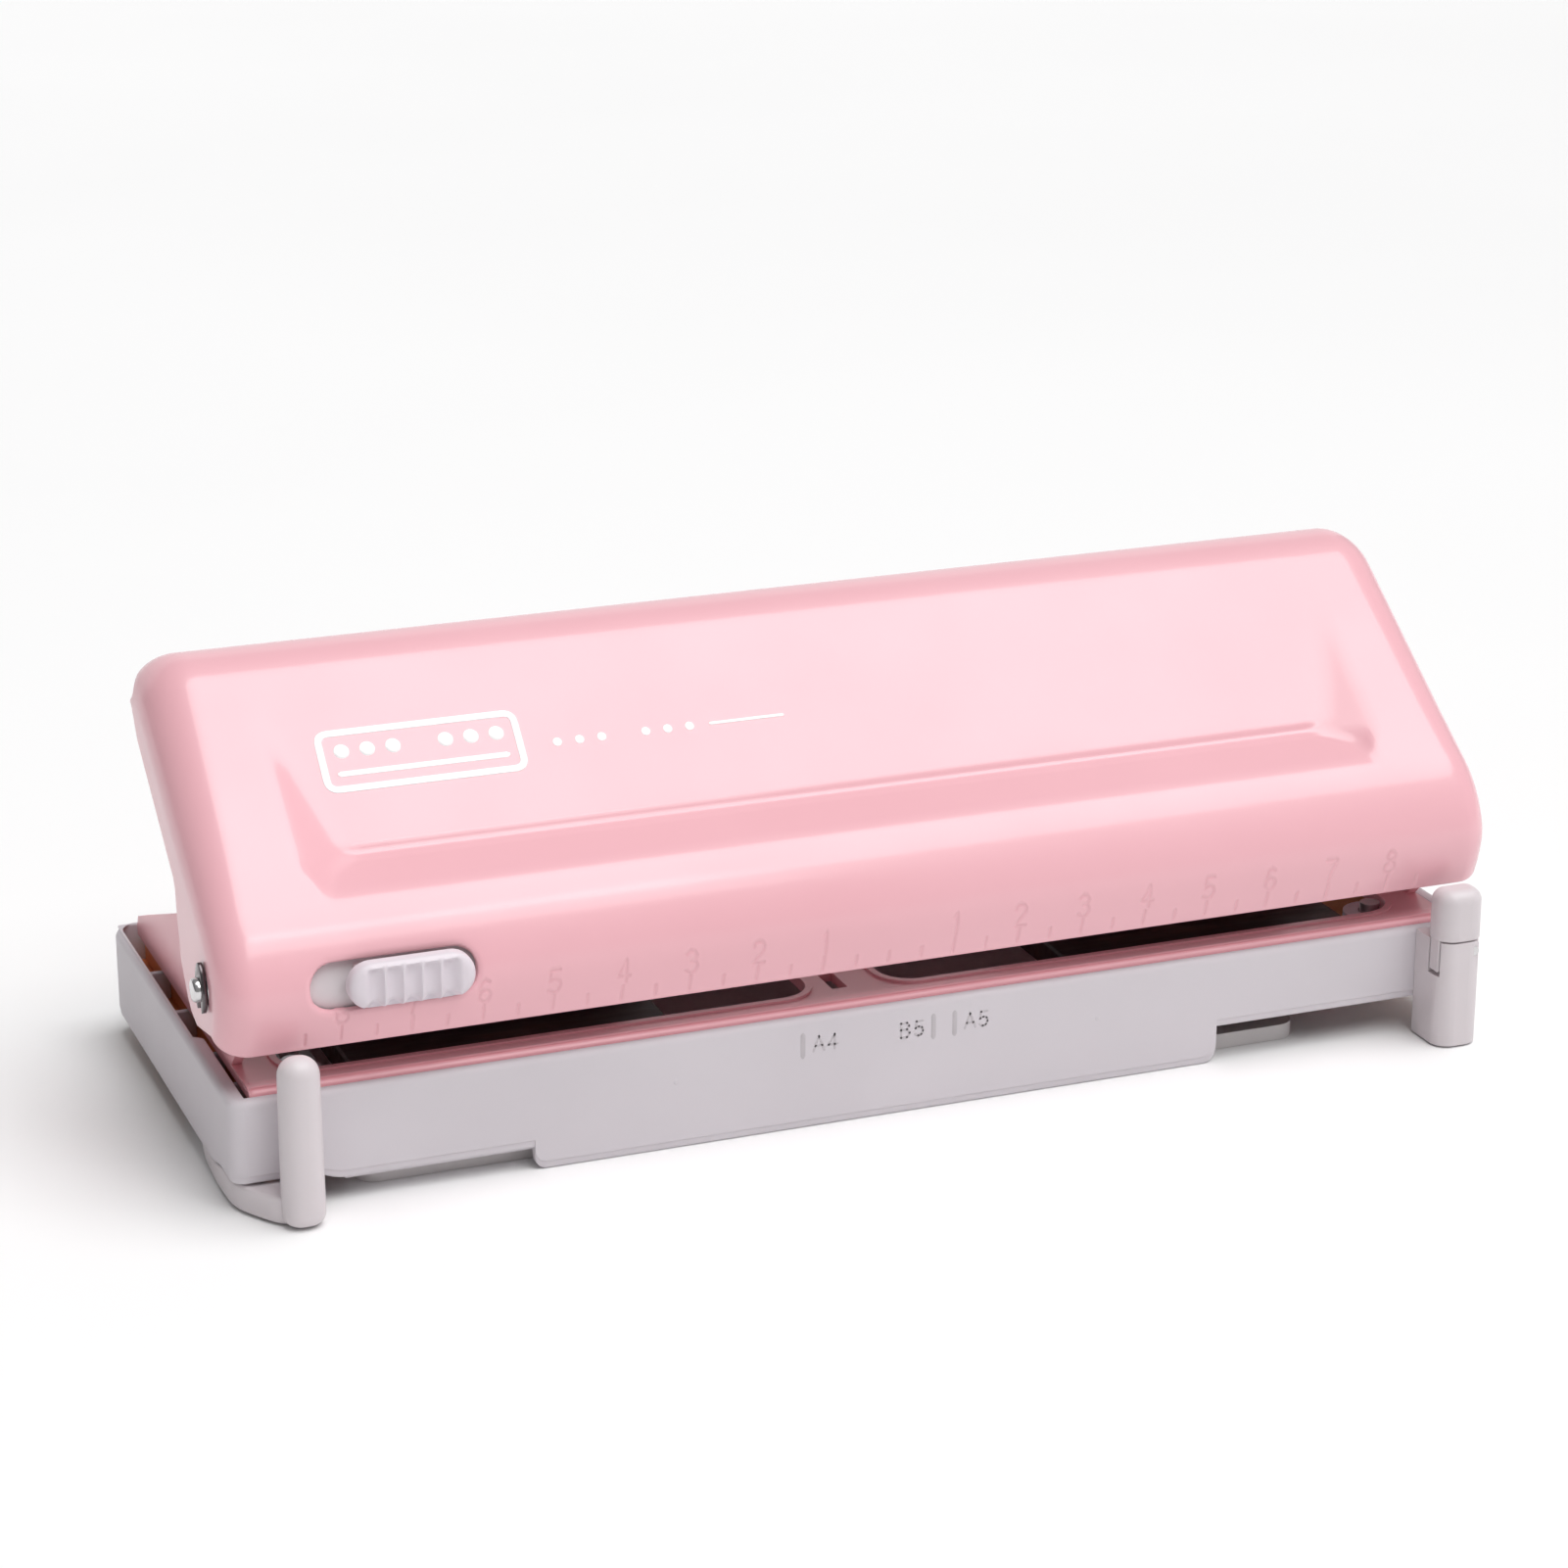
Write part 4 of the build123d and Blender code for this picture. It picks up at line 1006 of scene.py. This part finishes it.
def make_lock():
    """The fluted thumb button, and the plate, arm and pin behind it."""
    build = Build()
    loops = []
    rim = [(BUTTON_BACK, 0.0), (-35.6, 0.0), (-36.2, 0.02), (-36.5, 0.1), (-36.8, 0.3),
           (-37.02, 0.6), (-37.13, 0.9)]
    rim += [(BUTTON_FRONT, v) for v in (1.2, 1.6, 2.0, 2.4, 2.8, 3.1, 3.3)]
    for y, inset in rim:
        pts = stadium(inset)
        x, z = pts[:, 0], pts[:, 1]
        open_top = smoothstep((BUTTON[1] + BUTTON_HZ - 0.5 - z) / 0.7)
        depth = flute(x) * open_top
        front = float(smoothstep((-35.5 - y) / 1.0))
        yy = y + 0.95 * depth * front + 0.12 * ((z - BUTTON[1]) / BUTTON_HZ) ** 2 * front
        zz = z + 0.6 * depth * front * smoothstep((BUTTON[1] - 1.9 - z) / 1.0)
        loops.append(np.column_stack([x, yy, zz]))
    build.grid(np.array(loops), wrap=True)
    button = made("lock_thumb_button", build, "button_plastic", "lock", 50)
    rest = Build()
    soft_box(rest, (-77.8, -63.4), (-35.2, -32.0), (29.3, 34.2), 0.3)
    back = []
    for s in np.linspace(3.4, 13.0, 14):
        y, z, ny, nz = (float(v[0]) for v in section(np.array([s])))
        row = []
        for x, d in ((-85.2, 1.6), (-56.2, 1.6), (-56.2, 2.6), (-85.2, 2.6)):
            row.append((x, y - ny * d, z - nz * d))
        back.append(row)
    stack(rest, back)
    arm = rounded([(-32.2, 28.0), (-31.0, 28.0), (-30.4, 34.0), (-27.5, 36.4), (-17.0, 36.0),
                   (-15.6, 31.0), (-13.2, 31.4), (-12.6, 35.0), (-14.0, 37.4), (-28.5, 38.6),
                   (-32.2, 35.4)], 1.6)
    prism(rest, "x", arm, -85.5, -84.3, 0.25)
    pin = [(-90.3, 0.5), (-90.1, 0.85), (-89.8, 1.0), (-85.0, 1.0)]
    lathe(rest, "x", (0, -15.0, 33.5), pin, 20)
    obj = made("lock_slide_body", rest, "lever_plastic", "lock", 50)
    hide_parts("lock_slider")
    return button

# ---------------------------------------------------------------- presser webs and springs


def make_webs():
    """Three webs that carry the presser rod, cut to the underside of the slope."""
    build = Build()
    cy, cz = -10.22, 41.0
    for x in (-83.0, 0.0, 83.0):
        top = []
        for y in np.linspace(cy + 6.0, cy - 6.5, 9):
            u = (y - LIP_Y) / math.cos(SLOPE)
            sink = 1.35 + max(float(dish_depth(np.array([x + k]), np.array([S_SLOPE + u]))[0])
                              for k in (-0.9, 0.0, 0.9))
            top.append((y, LIP_Z + (y - LIP_Y) * math.tan(SLOPE) - sink / math.cos(SLOPE)))
        low = [(cy - 4.5, cz - 0.5), (cy - 2.0, cz - 2.9), (cy + 2.0, cz - 2.9),
               (cy + 4.5, cz - 0.5)]
        prism(build, "x", np.array(low + top), x - 0.75, x + 0.75, 0.15, 2)
    obj = made("presser_webs", build, "zinc_steel", "handle")
    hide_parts("presser_brackets")


def make_springs():
    """A coil round each punch pin, riding on its punch head."""
    for name, side in (("left", -1), ("right", 1)):
        for number in (1, 2, 3):
            x = side * 54.0 + (number - 2) * 19.0
            build = Build()
            low, high, turns, wire = 21.87, 29.93, 4.5, 0.25
            n = int(turns * 26)
            loops = []
            for i in range(n + 1):
                t = i / n
                a = 2 * math.pi * turns * t
                climb = low + (high - low) * float(smoothstep(t) * 0.35 + t * 0.65)
                radial = np.array([math.cos(a), math.sin(a), 0.0])
                up = np.array([0.0, 0.0, 1.0])
                centre = np.array([x, -9.0, climb]) + radial * 3.55
                loops.append([centre + wire * (radial * math.cos(b) - up * math.sin(b))
                              for b in np.linspace(0, 2 * math.pi, 10, endpoint=False)])
            stack(build, loops)
            spring = made(f"{name}_return_spring_{number}", build, "spring_steel", f"{name}_head")
            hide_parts(f"{name}_pin_spring_{number}")
            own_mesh(spring)

# ---------------------------------------------------------------- print on the slope


def on_slope(x, u, h):
    """A point on the sunken slope, h above its paint."""
    s = np.array([S_SLOPE + u])
    y, z, ny, nz = (float(v[0]) for v in section(s))
    sink = float(dish_depth(np.array([x]), s)[0]) - h
    return (x, y - ny * sink, z - nz * sink)


def make_print():
    """Generic pictogram of a six-hole page, and a small row of hole marks beside it."""
    build = Build()
    x0, x1, u0, u1 = -74.8, -46.4, 18.3, 27.0
    band(build, rounded([(x0, u0), (x1, u0), (x1, u1), (x0, u1)], 1.6, 6), 1.1, on_slope)
    for i in range(6):
        x = x0 + 3.0 + 3.7 * i + (3.9 if i > 2 else 0.0)
        dot(build, x, u1 - 2.9, 1.15, on_slope)
    ribbon(build, [(x0 + 2.2, u0 + 2.3), (x1 - 2.2, u0 + 2.3)], 0.9, on_slope, 0.1)
    for i in range(6):
        x = -41.0 + 3.3 * i + (3.3 if i > 2 else 0.0)
        dot(build, x, 21.6, 0.7, on_slope)
    ribbon(build, [(-18.0, 21.6), (-7.0, 21.6)], 0.5, on_slope, 0.1)
    made("slope_print", build, "white_ink", "handle")


make_tray()
make_tray_marks()
make_plate_front()
make_left_stop()
make_pivot()
make_lock()
make_webs()
make_springs()
make_print()

# ---------------------------------------------------------------- remaining CAD meshes

BEVELS = {"base_plate": 0.25, "chip_cover": 0.35, "stop_block_right": 0.35, "stop_cap_right": 0.3,
          "left_die_bar": 0.15, "right_die_bar": 0.15, "left_head_frame": 0.2,
          "right_head_frame": 0.2, "base_screws": 0.1, "head_rail": 0.2, "presser_rod": 0.25,
          "pivot_bushes": 0.15, "stop_pivot_screw": 0.1}
for node, width in BEVELS.items():
    obj = frame["nodes"][node]
    weld = obj.modifiers.new("weld", "WELD")
    weld.merge_threshold = 0.000005
    bevel = obj.modifiers.new("bevel", "BEVEL")
    bevel.width = width * MM
    bevel.segments = 3
    bevel.limit_method = "ANGLE"
    bevel.angle_limit = math.radians(50)
    bevel.harden_normals = False

# ---------------------------------------------------------------- floor, light, camera

floor_mesh = bpy.data.meshes.new("floor")
floor_mesh.from_pydata([(-6, -6, 0), (6, -6, 0), (6, 6, 0), (-6, 6, 0)], [], [(0, 1, 2, 3)])
floor = bpy.data.objects.new("floor", floor_mesh)
bpy.context.scene.collection.objects.link(floor)
floor.location.z = -0.00002
nf = Nodes("floor_white")
two_tone(nf, 3.0, (0.93, 0.93, 0.93, 1), (0.945, 0.945, 0.945, 1))
nf.set(Roughness=0.9)
nf.bsdf.inputs["Specular IOR Level"].default_value = 0.1
floor_mesh.materials.append(nf.mat)


sun_data = bpy.data.lights.new("soft_top", "SUN")
sun_data.energy = 2.1
sun_data.angle = math.radians(50.0)
sun = bpy.data.objects.new("soft_top", sun_data)
sun.rotation_euler = Vector((0.26, -0.2, 1.0)).to_track_quat("Z", "Y").to_euler()
bpy.context.scene.collection.objects.link(sun)

card_data = bpy.data.lights.new("back_card", "AREA")
card_data.shape = "RECTANGLE"
card_data.size, card_data.size_y = 4.0, 1.6
card_data.energy = 9.0
card = bpy.data.objects.new("back_card", card_data)
card.location = (0.0, 2.4, 0.85)
card.rotation_euler = Vector((0.0, 1.0, 0.2)).to_track_quat("Z", "Y").to_euler()
bpy.context.scene.collection.objects.link(card)

box_data = bpy.data.lights.new("front_box", "AREA")
box_data.shape = "RECTANGLE"
box_data.size, box_data.size_y = 0.6, 0.35
box_data.energy = 2.2
box = bpy.data.objects.new("front_box", box_data)
box.location = (0.1, -0.77, 0.92)
box.rotation_euler = Vector((0.1, -0.77, 0.89)).to_track_quat("Z", "Y").to_euler()
bpy.context.scene.collection.objects.link(box)

world = bpy.data.worlds.new("studio")
world.use_nodes = True
tree = world.node_tree
background = tree.nodes["Background"]
background.inputs["Color"].default_value = (1.0, 0.99, 0.99, 1)
across = tree.nodes.new("ShaderNodeTexCoord")
split = tree.nodes.new("ShaderNodeSeparateXYZ")
fade = tree.nodes.new("ShaderNodeMapRange")
fade.inputs["From Min"].default_value = -1.0
fade.inputs["From Max"].default_value = 0.6
fade.inputs["To Min"].default_value = 0.17
fade.inputs["To Max"].default_value = 0.39
tree.links.new(across.outputs["Generated"], split.inputs[0])
tree.links.new(split.outputs[0], fade.inputs["Value"])
tree.links.new(fade.outputs[0], background.inputs["Strength"])
bpy.context.scene.world = world

camera_data = bpy.data.cameras.new("camera")
camera_data.sensor_width = 36.0
camera_data.lens = 92.06
camera_data.clip_start, camera_data.clip_end = 0.01, 30.0
camera = bpy.data.objects.new("camera", camera_data)
camera.location = (-0.20686, -0.52006, 0.23162)
camera.rotation_euler = (math.radians(71.07), 0.0, math.radians(-21.42))
bpy.context.scene.collection.objects.link(camera)
bpy.context.scene.camera = camera

bpy.context.scene.view_settings.view_transform = "Standard"
